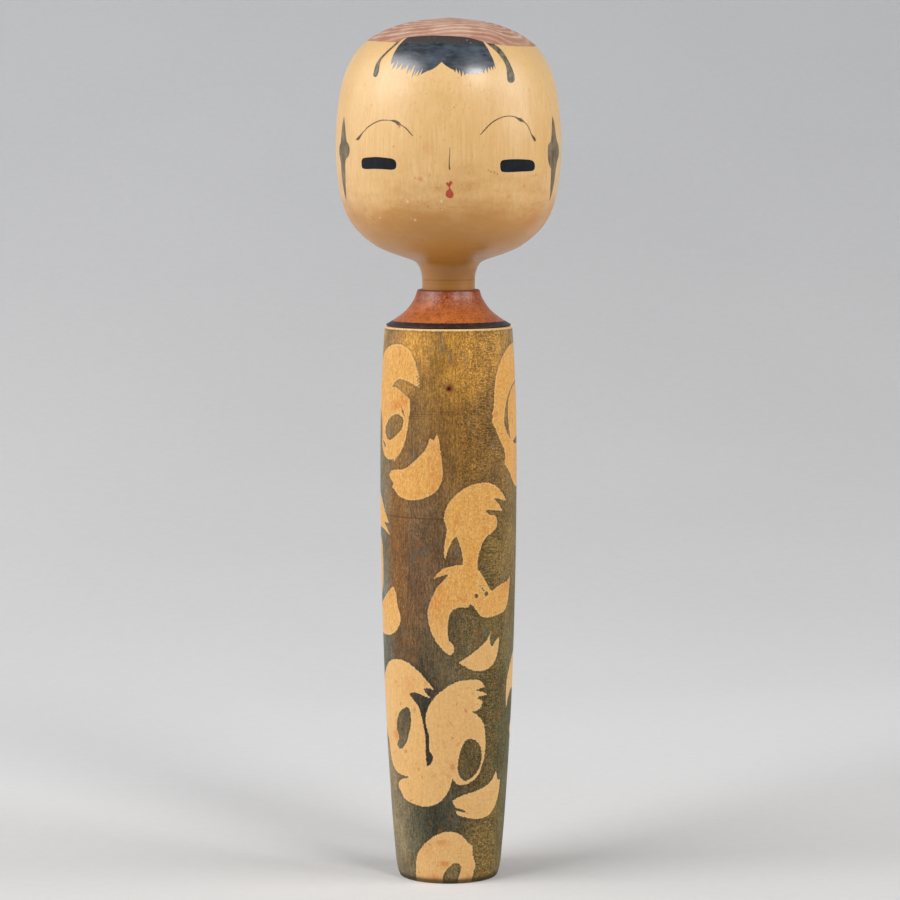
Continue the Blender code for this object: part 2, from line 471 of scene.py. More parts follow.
BLUSH_SPOTS = [
    (-50, 168.6, 5, 1.2, 0.8),
    (-41, 171.5, 4, 2.0, 0.5),
    (-56, 52.6, 4, 1.2, 0.8),
    (-12, 103, 6, 6.0, 0.45),
    (62, 106, 4, 2.0, 0.6),
    (-37, 71, 5, 3.0, 0.35),
    (-4.6, 7.5, 4, 0.7, 1.0),
    (-6.2, 15.3, 4, 0.8, 0.7),
    (-16, 2.0, 4, 0.9, 0.8),
    (3.8, 42.3, 1.6, 0.9, 1.0),
    (-9, 146, 4, 8.0, 0.3),
    (-25, 12.5, 6, 2.0, 0.4),
]

# Scratches round the body: (height mm, half width mm, azimuth, cosine of half its span, share)
SCRATCHES = [
    (167.0, 0.10, -14, 0.93, 0.45),
    (166.1, 0.09, -10, 0.90, 0.4),
    (165.3, 0.09, -20, 0.95, 0.4),
    (164.5, 0.10, -22, 0.975, 0.4),
    (170.3, 0.08, -30, 0.985, 0.3),
    (174.0, 0.08, -30, 0.99, 0.3),
    (129.9, 0.14, -34, 0.85, 0.75),
    (132.3, 0.09, -54, 0.97, 0.4),
    (133.6, 0.08, -50, 0.96, 0.3),
    (128.6, 0.07, -40, 0.97, 0.25),
    (85.6, 0.10, 60, 0.95, 0.3),
]

# Marks on the head: (colour, mm to the side, height mm, full within mm, gone beyond mm, share)
HEAD_MARKS = [
    ("smear", -9.6, 247.3, 0.1, 1.5, 0.55),
    ("smear", -11.2, 247.6, 0.1, 0.8, 0.5),
    ("smear", -16.6, 264.9, 0.1, 0.8, 0.8),
    ("smear", 28.5, 232.5, 0.5, 5.0, 0.18),
    ("smear", -7.2, 257.5, 0.5, 3.8, 0.16),
    ("smear", 14.5, 240.5, 0.1, 2.0, 0.25),
    ("smear", 20.5, 241.2, 0.1, 1.6, 0.3),
    ("smear", 25.8, 244.9, 0.1, 1.3, 0.45),
    ("soil", 13.6, 250.2, 0.05, 0.546, 0.6),
    ("soil", 14.4, 249.7, 0.05, 0.65, 0.6),
    ("soil", 15.6, 249.5, 0.05, 0.65, 0.6),
    ("soil", 16.6, 248.9, 0.05, 0.546, 0.6),
    ("soil", -7.0, 238.0, 0.05, 0.65, 0.6),
    ("soil", -18.6, 258.2, 0.05, 0.52, 0.6),
    ("soil", 1.9, 271.4, 0.05, 0.52, 0.6),
    ("nick", -13.9, 239.6, 0.1, 0.64, 0.6),
    ("nick", -11.3, 233.4, 0.1, 0.72, 0.6),
    ("nick", -12.6, 233.8, 0.1, 0.32, 0.6),
    ("nick", -23.4, 234.0, 0.1, 0.52, 0.6),
    ("nick", -2.4, 239.8, 0.1, 0.76, 0.6),
    ("nick", -2.0, 236.9, 0.1, 0.32, 0.6),
]

# ---------------------------------------------------------------- painted shapes on the head
# (azimuth, height mm) outlines, except where a comment says that x is in mm as seen from in front.

EYE_LEFT = [(-49, 252.1), (-48.9, 253.3), (-48.3, 254), (-47, 254.35), (-42.5, 254.6), (-38, 254.7)]
EYE_LEFT += [(-33, 254.45), (-29, 254.1), (-27.5, 253.6), (-26.8, 252.8), (-26.8, 251.5), (-27.6, 250.7)]
EYE_LEFT += [(-29.4, 250.4), (-34, 250.55), (-40, 250.65), (-46.5, 250.6), (-48.3, 250.85), (-48.9, 251.3)]
EYE_RIGHT = [(26.6, 251.2), (26.6, 252.6), (27.2, 253.4), (28.6, 253.7), (34, 253.95), (40, 253.9)]
EYE_RIGHT += [(45.8, 253.6), (47.6, 253.1), (48.6, 252.2), (48.8, 251), (48.1, 250.2), (46.2, 249.9)]
EYE_RIGHT += [(40, 249.75), (34, 249.6), (29, 249.6), (27.3, 249.9)]

SIDE_HAIR_LEFT = [
    [(-67.4, 268.6), (-65.2, 265.5), (-63.5, 262), (-62.3, 259.9)],
    [(-60.6, 259.2), (-59.2, 257.2), (-60.6, 255), (-63.5, 254)],
    [(-64.8, 252.5), (-65.5, 249.5), (-67.2, 245.5), (-69, 242), (-71.4, 239.4)],
    [(-71.6, 243.5), (-71.5, 248), (-70.8, 252.5)],
    [(-71.8, 254.2), (-73.2, 256.2), (-72, 258.6), (-70.2, 259.6)],
    [(-69.5, 262.5), (-68.7, 266), (-67.4, 268.6)],
]
SIDE_HAIR_RIGHT = [
    [(66.8, 268.6), (65.2, 265.5), (64, 262), (63.2, 260)],
    [(60.6, 259), (59.7, 257), (60.3, 254.3), (61.5, 252.4), (64.5, 250.6)],
    [(65.4, 247.5), (67, 243.5), (69.2, 239.6)],
    [(70.3, 241.8), (71, 246), (71.4, 250.5)],
    [(73, 253.3), (76, 255.4), (74.8, 258.2), (71.5, 260.3)],
    [(69.9, 262.5), (68.5, 266.5), (66.8, 268.6)],
]
# (azimuth, height mm, half width mm)
BROW_LEFT = [(-53.2, 260.6, 0.15), (-51.5, 260.9, 0.55), (-50.3, 261.5, 0.5), (-48.5, 262.6, 0.22)]
BROW_LEFT += [(-44.3, 264.8, 0.21), (-40, 266.2, 0.2), (-35.5, 267.1, 0.2), (-30, 267, 0.13)]
BROW_LEFT += [(-28.5, 266.9, 0.38), (-26.8, 266.5, 0.5), (-25.2, 265.8, 0.58), (-24.2, 265.5, 0.18)]
BROW_LEFT += [(-21.5, 264.4, 0.19), (-19.4, 263, 0.19), (-17.9, 261.9, 0.15)]
BROW_RIGHT = [(15.9, 262.2, 0.12), (18.5, 264.1, 0.2), (21.5, 266, 0.2), (25, 267.4, 0.19)]
BROW_RIGHT += [(29, 268.3, 0.16), (32.5, 268.5, 0.15), (35.5, 268.2, 0.2), (37.4, 267.6, 0.4)]
BROW_RIGHT += [(38.7, 267.3, 0.6), (39.9, 267.0, 0.45), (41.5, 266.4, 0.19), (43.4, 265.3, 0.19)]
BROW_RIGHT += [(45, 263.6, 0.16), (45.9, 262.3, 0.24), (47.2, 261.4, 0.5), (48.3, 260.5, 0.55)]

# x in mm as seen from in front
FRINGE = [
    [(-19.4, 287.6), (-18.3, 290.2), (-16.2, 293.3), (-12, 296.3), (0, 297.2), (8, 296.6), (11.5, 294.2)],
    [(13.6, 290.8), (15.4, 286.9), (16, 284.3)],
    *sharp([(15.3, 285.6), (15.1, 283.9), (14.4, 285.4), (14.3, 283.7), (13.5, 285.1)]),
    *sharp([(13.2, 282.9), (12.6, 284.9), (12.1, 282.7), (11.5, 283.6)]),
    [(9.6, 282.8), (7.4, 282.6), (6.2, 283)],
    *sharp([(5.4, 282), (4.9, 283.9), (4.4, 281.5), (3.7, 284.2), (3.4, 282.5), (2.6, 284.6)]),
    *sharp([(2.3, 283.1), (1.8, 284)]),
    [(0.4, 284.6), (-1.2, 285.7), (-2.3, 286.7)],
    [(-3.2, 285.9), (-4.6, 284.7), (-6.2, 283.9), (-7.4, 283.5)],
    *sharp([(-9.4, 282.4), (-8.5, 284.7), (-10.6, 281.7), (-9.7, 284.4), (-11.5, 282)]),
    *sharp([(-10.9, 284.2), (-12.5, 281.3), (-11.2, 286.1), (-13.2, 283), (-12.7, 284.8)]),
    *sharp([(-14.3, 282.6), (-13.4, 286.2), (-15, 284.2), (-14.8, 285.2)]),
    *sharp([(-16.2, 283.8), (-15.4, 286.8), (-16.7, 285.1), (-17.7, 284.3), (-16.9, 287.7)]),
    *sharp([(-18.1, 285.3), (-19.3, 284.1), (-18.3, 287.1), (-19.6, 285.9), (-19.4, 287.6)]),
]
SIDELOCK_LEFT = [(-15.9, 295, 0.3), (-17.4, 293.5, 0.3), (-19.6, 291.5, 0.3), (-21.9, 289.3, 0.32)]
SIDELOCK_LEFT += [(-23.4, 287.5, 0.4), (-24.1, 285.8, 0.66), (-24.5, 284, 0.82), (-24.9, 282.5, 0.72)]
SIDELOCK_RIGHT = [(11, 295, 0.45), (12.8, 293.9, 0.5), (14.6, 292.7, 0.68), (16.8, 291, 0.85)]
SIDELOCK_RIGHT += [(18.6, 288.8, 0.85), (19.9, 286.6, 0.78), (20.7, 284.4, 1.0), (21.1, 282.4, 1.25)]
SIDELOCK_RIGHT += [(21.25, 281, 1.3)]
NOSE = [(0.5, 257.9, 0.1), (0.42, 255.5, 0.13), (0.3, 253.3, 0.17), (0.3, 251.6, 0.22), (0.4, 250.6, 0.24)]
LIP_UPPER = [
    [(0.1, 245.8), (0.5, 246.6), (1.1, 246.5), (1.4, 245.8), (0.8, 245.2), (0.3, 244.3)],
    [(-0.4, 245.1), (-0.9, 245.8), (-0.4, 246.2), (0.1, 245.8)],
]
LIP_LOWER = [
    [(0.35, 244.6), (1.2, 243.4), (1.7, 242.3), (1.5, 241.2), (0.7, 240.8), (-0.3, 241.1)],
    [(-0.9, 241.9), (-0.8, 243), (0, 243.8), (0.35, 244.6)],
]
# (azimuth, radius mm) seen from above
CROWN_EDGE = [(-78, 28.6), (-58, 29.2), (-42, 29.7), (-35, 29.6), (-32, 28.3), (-21, 27.4), (-8, 27.2)]
CROWN_EDGE += [(5, 27.6), (14, 28.2), (26, 30.2), (40, 31), (58, 31), (80, 30.6), (115, 30.2)]
CROWN_EDGE += [(150, 30.9), (185, 31.2), (220, 30.2), (255, 29)]


# ---------------------------------------------------------------- mesh making


def edit_all():
    """Enters edit mode with the whole mesh selected."""
    bpy.ops.object.mode_set(mode="EDIT")
    bpy.ops.mesh.select_all(action="SELECT")


def leave_edit():
    """Leaves edit mode."""
    bpy.ops.object.mode_set(mode="OBJECT")


def clear_selection():
    """Leaves nothing selected."""
    for thing in bpy.context.selected_objects:
        thing.select_set(False)


def draw_wire(name, points):
    """A new object whose mesh is a wire through (x, y, z) points, made by extruding one vertex."""
    clear_selection()
    bpy.ops.mesh.primitive_plane_add(size=MM, location=points[0])
    piece = bpy.context.object
    piece.name = piece.data.name = name
    edit_all()
    bpy.ops.mesh.merge(type="CENTER")
    for a, b in zip(points, points[1:]):
        step = tuple(q - p for p, q in zip(a, b))
        bpy.ops.mesh.extrude_region_move(TRANSFORM_OT_translate={"value": step})
    leave_edit()
    bpy.ops.object.transform_apply(location=True, rotation=True, scale=True)
    return piece


def frame_outline(node):
    """The (radius, height) points of a turned CAD node's outline in mm, in order."""
    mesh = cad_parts[node].data
    key = {}
    for v in mesh.vertices:
        if abs(v.co.y) < 1e-6 and v.co.x > -1e-6:
            key[v.index] = (round(v.co.x / MM, 3), round(v.co.z / MM, 3))
    links = {}
    for edge in mesh.edges:
        a, b = edge.vertices
        if a in key and b in key and key[a] != key[b]:
            links.setdefault(key[a], set()).add(key[b])
            links.setdefault(key[b], set()).add(key[a])
    ends = [p for p in links if len(links[p]) == 1]
    start = max(ends, key=lambda p: p[1]) if ends else max(links, key=lambda p: (p[1], -p[0]))
    path, seen = [start], {start}
    while True:
        ahead = [p for p in links[path[-1]] if p not in seen]
        if not ahead:
            break
        nearest = max(ahead, key=lambda p: p[0]) if len(path) == 1 else ahead[0]
        path.append(nearest)
        seen.add(nearest)
    return path, not ends


def corner_at(points, i):
    """The turn of an outline at a point, in degrees."""
    a, b, c = (np.array(points[j % len(points)], float) for j in (i - 1, i, i + 1))
    u, v = b - a, c - b
    turn = math.atan2(u[0] * v[1] - u[1] * v[0], u @ v)
    return abs(math.degrees(turn))


def dense_outline(points, closed, spacing):
    """The outline with its curved runs made smooth and finely divided, and its corners kept."""
    count = len(points)
    if closed:
        first = next(i for i in range(count) if corner_at(points, i) > CORNER)
        points = points[first:] + points[:first]
        points = points + [points[0]]
    breaks = [0]
    breaks += [i for i in range(1, len(points) - 1) if corner_at(points, i) > CORNER]
    breaks += [len(points) - 1]
    dense, corners = [], []
    for a, b in zip(breaks, breaks[1:]):
        run = smooth_through(points[a : b + 1], spacing(points[a : b + 1]))
        dense += run[:-1]
        corners.append(len(dense))
    dense.append(points[-1])
    return dense, corners[:-1]


def round_corners(points, corners, radius):
    """Cuts each corner of an outline with a short arc of three points."""
    rounded = []
    for i, p in enumerate(points):
        if i not in corners:
            rounded.append(p)
            continue
        p = np.array(p)
        a, b = np.array(points[i - 1]), np.array(points[i + 1])
        reach = min(radius, 0.4 * np.linalg.norm(a - p), 0.4 * np.linalg.norm(b - p))
        one = p + (a - p) / np.linalg.norm(a - p) * reach
        two = p + (b - p) / np.linalg.norm(b - p) * reach
        middle = (one + two) / 2 * 0.45 + p * 0.55
        rounded += [tuple(one), tuple(middle), tuple(two)]
    return rounded


def turn(name, node, segments, spacing, rounding):
    """A turned piece that stands for a CAD node: its outline drawn as a wire and spun about Z."""
    points, closed = frame_outline(node)
    points, corners = dense_outline(points, closed, spacing)
    points = round_corners(points, set(corners), rounding)
    piece = draw_wire(name, [(r * MM, 0, z * MM) for r, z in points])
    edit_all()
    bpy.ops.mesh.spin(steps=segments, angle=2 * math.pi, center=(0, 0, 0), axis=(0, 0, 1))
    bpy.ops.mesh.select_all(action="SELECT")
    bpy.ops.mesh.remove_doubles(threshold=MERGE)
    bpy.ops.mesh.normals_make_consistent(inside=False)
    leave_edit()
    bpy.ops.object.shade_smooth_by_angle(angle=SMOOTH_ANGLE)
    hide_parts(node)
    return piece


@lru_cache(maxsize=None)
def head_side():
    """The heights and radii of the head's outside above its neck, from the lowest up, in mm."""
    points, _ = frame_outline("head")
    outside = [p for p in reversed(points) if p[1] > NECK_TOP]
    return [p[1] for p in outside], [p[0] for p in outside]


def head_radius(height):
    """The head's radius at a height, both in mm."""
    heights, radii = head_side()
    return float(np.interp(height, heights, radii))


def on_head(across, height):
    """The place on the front of the head at a distance to the side and a height, in mm."""
    return across, -math.sqrt(head_radius(height) ** 2 - across**2), height


def wrap_sheet(piece, cells, axis, reach):
    """Fills a closed wire, cuts it into small cells and lays it on the head along an axis."""
    edit_all()
    bpy.ops.mesh.remove_doubles(threshold=MERGE)
    bpy.ops.mesh.edge_face_add()
    bpy.ops.mesh.quads_convert_to_tris(quad_method="BEAUTY", ngon_method="BEAUTY")
    leave_edit()
    low = np.min([v.co for v in piece.data.vertices], axis=0)
    high = np.max([v.co for v in piece.data.vertices], axis=0)
    bpy.ops.object.mode_set(mode="EDIT")
    for k in range(3):
        if k == axis:
            continue
        across = [0.0, 0.0, 0.0]
        across[k] = 1.0
        for cut in np.arange(low[k] + cells, high[k], cells):
            bpy.ops.mesh.select_all(action="SELECT")
            bpy.ops.mesh.bisect(plane_co=[cut * a for a in across], plane_no=across)
    bpy.ops.mesh.select_all(action="SELECT")
    bpy.ops.mesh.normals_make_consistent(inside=False)
    leave_edit()
    facing = piece.data.polygons[0].normal[axis] * reach
    if facing > 0:
        edit_all()
        bpy.ops.mesh.flip_normals()
        leave_edit()
    wrap = piece.modifiers.new("lie_on_head", "SHRINKWRAP")
    wrap.target = bpy.data.objects[HEAD]
    wrap.wrap_method = "PROJECT"
    wrap.use_project_y, wrap.use_project_z = axis == 1, axis == 2
    wrap.use_positive_direction, wrap.use_negative_direction = reach > 0, reach < 0
    bpy.ops.object.modifier_apply(modifier=wrap.name)


def paint_film(name, points, centre, thickness, cells=0.7):
    """A thin film of paint on the head, from an outline of (azimuth, height mm) points."""
    in_front = 60 * MM
    wire = []
    for azimuth, height in [*points, points[0]]:
        across = head_radius(height) * math.sin(math.radians(azimuth - centre))
        wire.append((across * MM, -in_front, height * MM))
    piece = draw_wire(name, wire)
    wrap_sheet(piece, cells * MM, 1, 1)
    if centre:
        edit_all()
        bpy.ops.transform.rotate(
            value=-math.radians(centre), orient_axis="Z", center_override=(0, 0, 0)
        )
        leave_edit()
    thicken(piece, thickness)
    return piece


def thicken(piece, thickness):
    """Gives a sheet its thickness, half on each side, and smooths it."""
    solid = piece.modifiers.new("thickness", "SOLIDIFY")
    solid.thickness = thickness
    solid.offset = 0
    bpy.ops.object.modifier_apply(modifier=solid.name)
    bpy.ops.object.shade_smooth_by_angle(angle=SMOOTH_ANGLE)


def seen_in_front(points):
    """(x mm, height mm) points as (azimuth, height mm) points on the head."""
    turned = []
    for x, z in points:
        share = max(-1.0, min(1.0, x / head_radius(z)))
        turned.append((math.degrees(math.asin(share)), z))
    return turned


def finish_piece(piece, material, body):
    """Gives a piece its material and its slot, and sets it to ride on a body."""
    piece.data.materials.clear()
    piece.data.materials.append(material)
    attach(piece, body)
    clear_selection()
    return piece


# ---------------------------------------------------------------- attributes


def surface_places(mesh):
    """Azimuth in degrees, height in mm and radius in mm of each vertex."""
    co = np.empty(len(mesh.vertices) * 3, np.float32)
    mesh.vertices.foreach_get("co", co)
    x, y, z = (co.reshape(-1, 3).astype(float) / MM).T
    return np.degrees(np.arctan2(x, -y)), z, np.hypot(x, y)


def add_attribute(mesh, name, values, kind="FLOAT"):
    """Stores one value for each vertex."""
    attribute = mesh.attributes.new(name, kind, "POINT")
    field = "value" if kind == "FLOAT" else "color"
    attribute.data.foreach_set(field, np.asarray(values, np.float32).ravel())


def distance_inside(loop, azimuth, height, radius):
    """How far each point lies inside a closed loop, in mm, and less than zero outside."""
    loop = np.array(loop, float)
    inside = np.zeros(len(azimuth), bool)
    nearest = np.full(len(azimuth), FAR)
    scale = np.radians(1) * radius
    for (a0, z0), (a1, z1) in zip(loop, np.roll(loop, -1, axis=0)):
        px, pz = (azimuth - a0) * scale, height - z0
        dx, dz = (a1 - a0) * scale, z1 - z0
        share = np.clip((px * dx + pz * dz) / np.maximum(dx * dx + dz * dz, 1e-9), 0, 1)
        nearest = np.minimum(nearest, np.hypot(px - share * dx, pz - share * dz))
        if z0 != z1:
            crosses = (height > min(z0, z1)) & (height <= max(z0, z1))
            cut = a0 + (height - z0) / (z1 - z0) * (a1 - a0)
            inside ^= crosses & (azimuth < cut)
    return np.where(inside, nearest, -nearest)


def stroke_field(azimuth, height, radius):
    """The distance inside the nearest bare wood stroke, in mm, for each place on the body."""
    field = np.full(len(azimuth), -FAR)
    for (runs, holes), seed, turned, mirrored, lift in STROKES_SET_OUT:
        sign = -1 if mirrored else 1
        shape = outline(runs, 0.7, seed, BODY_DEGREE)
        loops = [[(sign * a + turned, z + lift) for a, z in shape]]
        for hole in holes:
            scaled = smooth_through([(a * BODY_DEGREE, z) for a, z in hole], 0.6, closed=True)
            loops.append([(sign * a / BODY_DEGREE + turned, z + lift) for a, z in scaled])
        low_a = min(a for a, _ in loops[0]) - 16
        high_a = max(a for a, _ in loops[0]) + 16
        low_z = min(z for _, z in loops[0]) - FAR
        high_z = max(z for _, z in loops[0]) + FAR
        round_a = (azimuth - low_a) % 360 + low_a
        near = (round_a <= high_a) & (height >= low_z) & (height <= high_z)
        here = distance_inside(loops[0], round_a[near], height[near], radius[near])
        for loop in loops[1:]:
            hole = distance_inside(loop, round_a[near], height[near], radius[near])
            here = np.minimum(here, -hole)
        field[near] = np.maximum(field[near], here)
    return field


def to_linear(colour):
    """An sRGB colour from 0 to 255 as linear values."""
    c = np.array(colour, float) / 255
    return np.where(c <= 0.04045, c / 12.92, ((c + 0.055) / 1.055) ** 2.4)


def patch(azimuth, height, middle, z, wide, tall):
    """1 at a patch's middle, fading away with its half width and half height."""
    off = (azimuth - middle + 180) % 360 - 180
    return np.exp(-0.5 * ((off / wide) ** 2 + ((height - z) / tall) ** 2))


def stain_and_sheen_field(azimuth, height):
    """The stain's broad colour at each place on the body, with painted reflection near its left and right
    edges, blended between patches.
    """
    base = to_linear((116, 96, 60))
    richness = 1.1
    total = np.tile(base * 0.35, (len(azimuth), 1))
    weight = np.full(len(azimuth), 0.35)
    for *place, colour, strength in STAIN_AND_SHEEN_PATCHES:
        w = strength * patch(azimuth, height, *place)
        total += w[:, None] * to_linear(colour)
        weight += w
    blended = total / weight[:, None]
    grey = blended.mean(axis=1, keepdims=True)
    return np.clip(grey + (blended - grey) * richness, 0.002, 1)


def blush_field(azimuth, height):
    """How reddish the bare wood is at each place on the body, from 0 to 1."""
    blush = np.zeros(len(azimuth))
    for *place, strength in BLUSH_SPOTS:
        blush += strength * patch(azimuth, height, *place)
    return np.clip(blush, 0, 1)


# ---------------------------------------------------------------- materials


class Finish:
    """One procedural material, with short ways to add its nodes."""

    def __init__(self, name, **constants):
        old = bpy.data.materials.get(name)
        if old:
            bpy.data.materials.remove(old)
        self.material = bpy.data.materials.new(name)
        self.material.use_nodes = True
        self.tree = self.material.node_tree
        self.shader = self.tree.nodes["Principled BSDF"]
        for socket, value in constants.items():
            self.shader.inputs[socket.replace("_", " ")].default_value = value
        self.place = self.add("ShaderNodeTexCoord").outputs["Object"]

    def add(self, kind, inputs=None, **settings):
        """A new node, with its inputs linked or set and its settings made."""
        node = self.tree.nodes.new(kind)
        for name, value in settings.items():
            setattr(node, name, value)
        for key, value in (inputs or {}).items():
            self.put(node.inputs[key], value)
        return node

    def put(self, socket, value):
        """Links a socket to an input, or sets the input to a constant."""
        if isinstance(value, bpy.types.NodeSocket):
            self.tree.links.new(value, socket)
        elif socket.type == "RGBA" and len(value) == 3:
            socket.default_value = (*value, 1)
        else:
            socket.default_value = value

    def math(self, operation, a, b=0.0):
        """What a math operation makes of one or two values."""
        return self.add("ShaderNodeMath", {0: a, 1: b}, operation=operation).outputs[0]

    def plus(self, a, b):
        """a + b."""
        return self.math("ADD", a, b)

    def times(self, a, b):
        """a * b."""
        return self.math("MULTIPLY", a, b)

    def swing(self, noise, amount):
        """A noise from 0 to 1 as a swing about zero, amount from end to end."""
        return self.times(self.math("SUBTRACT", noise, 0.5), amount)

    def off_from(self, value, middle):
        """How far a value is from a middle value."""
        return self.math("ABSOLUTE", self.math("SUBTRACT", value, middle))

    def stretch(self, x, y, z, move=(0, 0, 0)):
        """The place with its axes scaled, in cells per metre."""
        node = self.add("ShaderNodeMapping", {"Vector": self.place, "Scale": (x, y, z)})
        node.inputs["Location"].default_value = move
        return node.outputs[0]

    def noise(self, vector, detail=2.0, roughness=0.5, distortion=0.0):
        """Noise from 0 to 1, with one cell to each unit of the vector."""
        sockets = {"Vector": vector, "Scale": 1.0, "Detail": detail}
        sockets |= {"Roughness": roughness, "Distortion": distortion}
        return self.add("ShaderNodeTexNoise", sockets).outputs[0]

    def ramp(self, value, low, high, to_low=0.0, to_high=1.0):
        """value from low to high as to_low to to_high, eased and clamped."""
        sockets = {0: value, 1: low, 2: high, 3: to_low, 4: to_high}
        node = self.add("ShaderNodeMapRange", sockets, interpolation_type="SMOOTHSTEP")
        return node.outputs[0]

    def mix(self, share, a, b):
        """Colour a, with a share of colour b in it."""
        node = self.add("ShaderNodeMix", data_type="RGBA", blend_type="MIX")
        node.clamp_factor = True
        self.put(node.inputs[0], share)
        self.put(node.inputs[6], a)
        self.put(node.inputs[7], b)
        return node.outputs[2]

    def blend_values(self, share, a, b):
        """Value a, with a share of value b in it."""
        node = self.add("ShaderNodeMix", data_type="FLOAT")
        self.put(node.inputs[0], share)
        self.put(node.inputs[2], a)
        self.put(node.inputs[3], b)
        return node.outputs[0]

    def scaled(self, colour, amount):
        """A colour multiplied by a number."""
        node = self.add("ShaderNodeVectorMath", operation="SCALE")
        self.put(node.inputs[0], colour)
        self.put(node.inputs["Scale"], amount)
        return node.outputs[0]

    def attribute(self, name, output="Fac"):
        """An attribute of the piece's own mesh."""
        return self.add("ShaderNodeAttribute", attribute_name=name).outputs[output]

    def xyz(self):
        """The three coordinates of each place, in metres."""
        node = self.add("ShaderNodeSeparateXYZ", {0: self.place})
        return node.outputs[0], node.outputs[1], node.outputs[2]

    def near(self, point, inner, outer):
        """1 within inner of a point in mm and 0 beyond outer."""
        node = self.add("ShaderNodeVectorMath", operation="DISTANCE")
        self.put(node.inputs[0], self.place)
        node.inputs[1].default_value = [c * MM for c in point]
        return self.ramp(node.outputs["Value"], inner * MM, outer * MM, 1.0, 0.0)

    def facing(self, azimuth):
        """The cosine of the angle round Z between each place and an azimuth."""
        x, y, _ = self.xyz()
        flat = self.add("ShaderNodeCombineXYZ", {0: x, 1: y, 2: 0.0}).outputs[0]
        unit = self.add("ShaderNodeVectorMath", {0: flat}, operation="NORMALIZE").outputs[0]
        a = math.radians(azimuth)
        dot = self.add("ShaderNodeVectorMath", {0: unit}, operation="DOT_PRODUCT")
        dot.inputs[1].default_value = (math.sin(a), -math.cos(a), 0)
        return dot.outputs["Value"]

    def done(self, colour, roughness, bumps=()):
        """Links the colour and roughness, and each (height, distance in mm, strength) bump."""
        self.put(self.shader.inputs["Base Color"], colour)
        self.put(self.shader.inputs["Roughness"], roughness)
        normal = None
        for height, distance, strength in bumps:
            bump = self.add("ShaderNodeBump", {"Height": height})
            bump.inputs["Distance"].default_value = distance * MM
            bump.inputs["Strength"].default_value = strength
            if normal is not None:
                self.put(bump.inputs["Normal"], normal)
            normal = bump.outputs[0]
        if normal is not None:
            self.put(self.shader.inputs["Normal"], normal)
        return self.material


def lathe_rings(finish, pitch, wobble=0.25):
    """Fine rings left by the turning tool, pitch in mm."""
    _, _, z = finish.xyz()
    drift = finish.noise(finish.stretch(40, 40, 160), detail=1)
    turns = finish.times(z, 2 * math.pi / (pitch * MM))
    turns = finish.plus(turns, finish.times(drift, wobble * 20))
    return finish.ramp(finish.math("SINE", turns), -1.0, 1.0)


def pale_waxed_wood(colours):
    """The head: close-grained pale wood under old wax, darker towards the chin and the neck with patina and
    painted shade, and lighter on the forehead with painted light.
    """
    f = Finish("pale_waxed_wood", Specular_IOR_Level=0.45, Coat_Weight=0.32, Coat_Roughness=0.28)
    _, _, z = f.xyz()
    grain = f.noise(f.stretch(1300, 1300, 60), detail=4, roughness=0.6)
    fine = f.noise(f.stretch(3600, 3600, 420), detail=2)
    cloud = f.noise(f.stretch(45, 45, 32), detail=4, roughness=0.6)
    colour = f.mix(f.ramp(grain, 0.28, 0.72), colours.pale_wood_dark, colours.pale_wood)
    colour = f.mix(f.ramp(cloud, 0.35, 0.7, 0.0, 0.4), colour, colours.pale_wood_gold)
    # painted shade: towards the chin and under it the wood darkens, partly patina and partly painted shade
    patina_and_shade_wobble = f.noise(f.stretch(60, 60, 130, (2, 5, 1)), detail=4, roughness=0.65)
    patina_and_shade_wobble = f.swing(patina_and_shade_wobble, 0.034)
    patina_and_shade = f.plus(z, patina_and_shade_wobble)
    colour = f.mix(f.ramp(patina_and_shade, 0.252, 0.227, 0.0, 0.92), colour, colours.patina_and_shade)
    colour = f.mix(f.ramp(patina_and_shade, 0.226, 0.214, 0.0, 0.5), colour, colours.deep_patina_and_shade)
    # painted light: above the brows the wood lightens, partly its own tone and partly painted light from
    # above
    colour = f.mix(f.ramp(patina_and_shade, 0.262, 0.290, 0.0, 0.5), colour, colours.pale_wood_with_painted_light)
    flecks = f.ramp(fine, 0.62, 0.74, 0.0, 0.38)
    middle = f.ramp(f.facing(-4), 0.90, 0.985)
    low_flecks = f.noise(f.stretch(900, 900, 500), detail=3, roughness=0.7)
    middle = f.ramp(middle, 0.0, 1.0, 0.5, 1.0)
    middle_flecks = f.times(middle, f.ramp(low_flecks, 0.58, 0.73, 0.0, 0.42))
    colour = f.mix(f.plus(flecks, middle_flecks), colour, colours.fleck)
    soil = f.noise(f.stretch(150, 150, 420, (8, 2, 3)), detail=4, roughness=0.7)
    soil = f.times(f.ramp(soil, 0.59, 0.75), f.ramp(z, 0.256, 0.236, 0.0, 0.5))
    colour = f.mix(soil, colour, colours.soil)
    for tone, across, height, inner, outer, share in HEAD_MARKS:
        mark = f.times(f.near(on_head(across, height), inner, outer), share)
        colour = f.mix(mark, colour, getattr(colours, tone))
    for height, half, share in [(0.2118, 0.0002, 0.32), (0.2106, 0.00015, 0.16)]:
        off = f.off_from(z, height)
        line = f.ramp(off, half, half * 2.2, share, 0.0)
        colour = f.mix(line, colour, colours.lathe_line)
    rings = lathe_rings(f, 0.8)
    dulled = f.noise(f.stretch(90, 90, 60), detail=3)
    roughness = f.ramp(dulled, 0.3, 0.7, 0.36, 0.46)
    return f.done(colour, roughness, [(grain, 0.05, 0.35), (rings, 0.012, 0.3)])


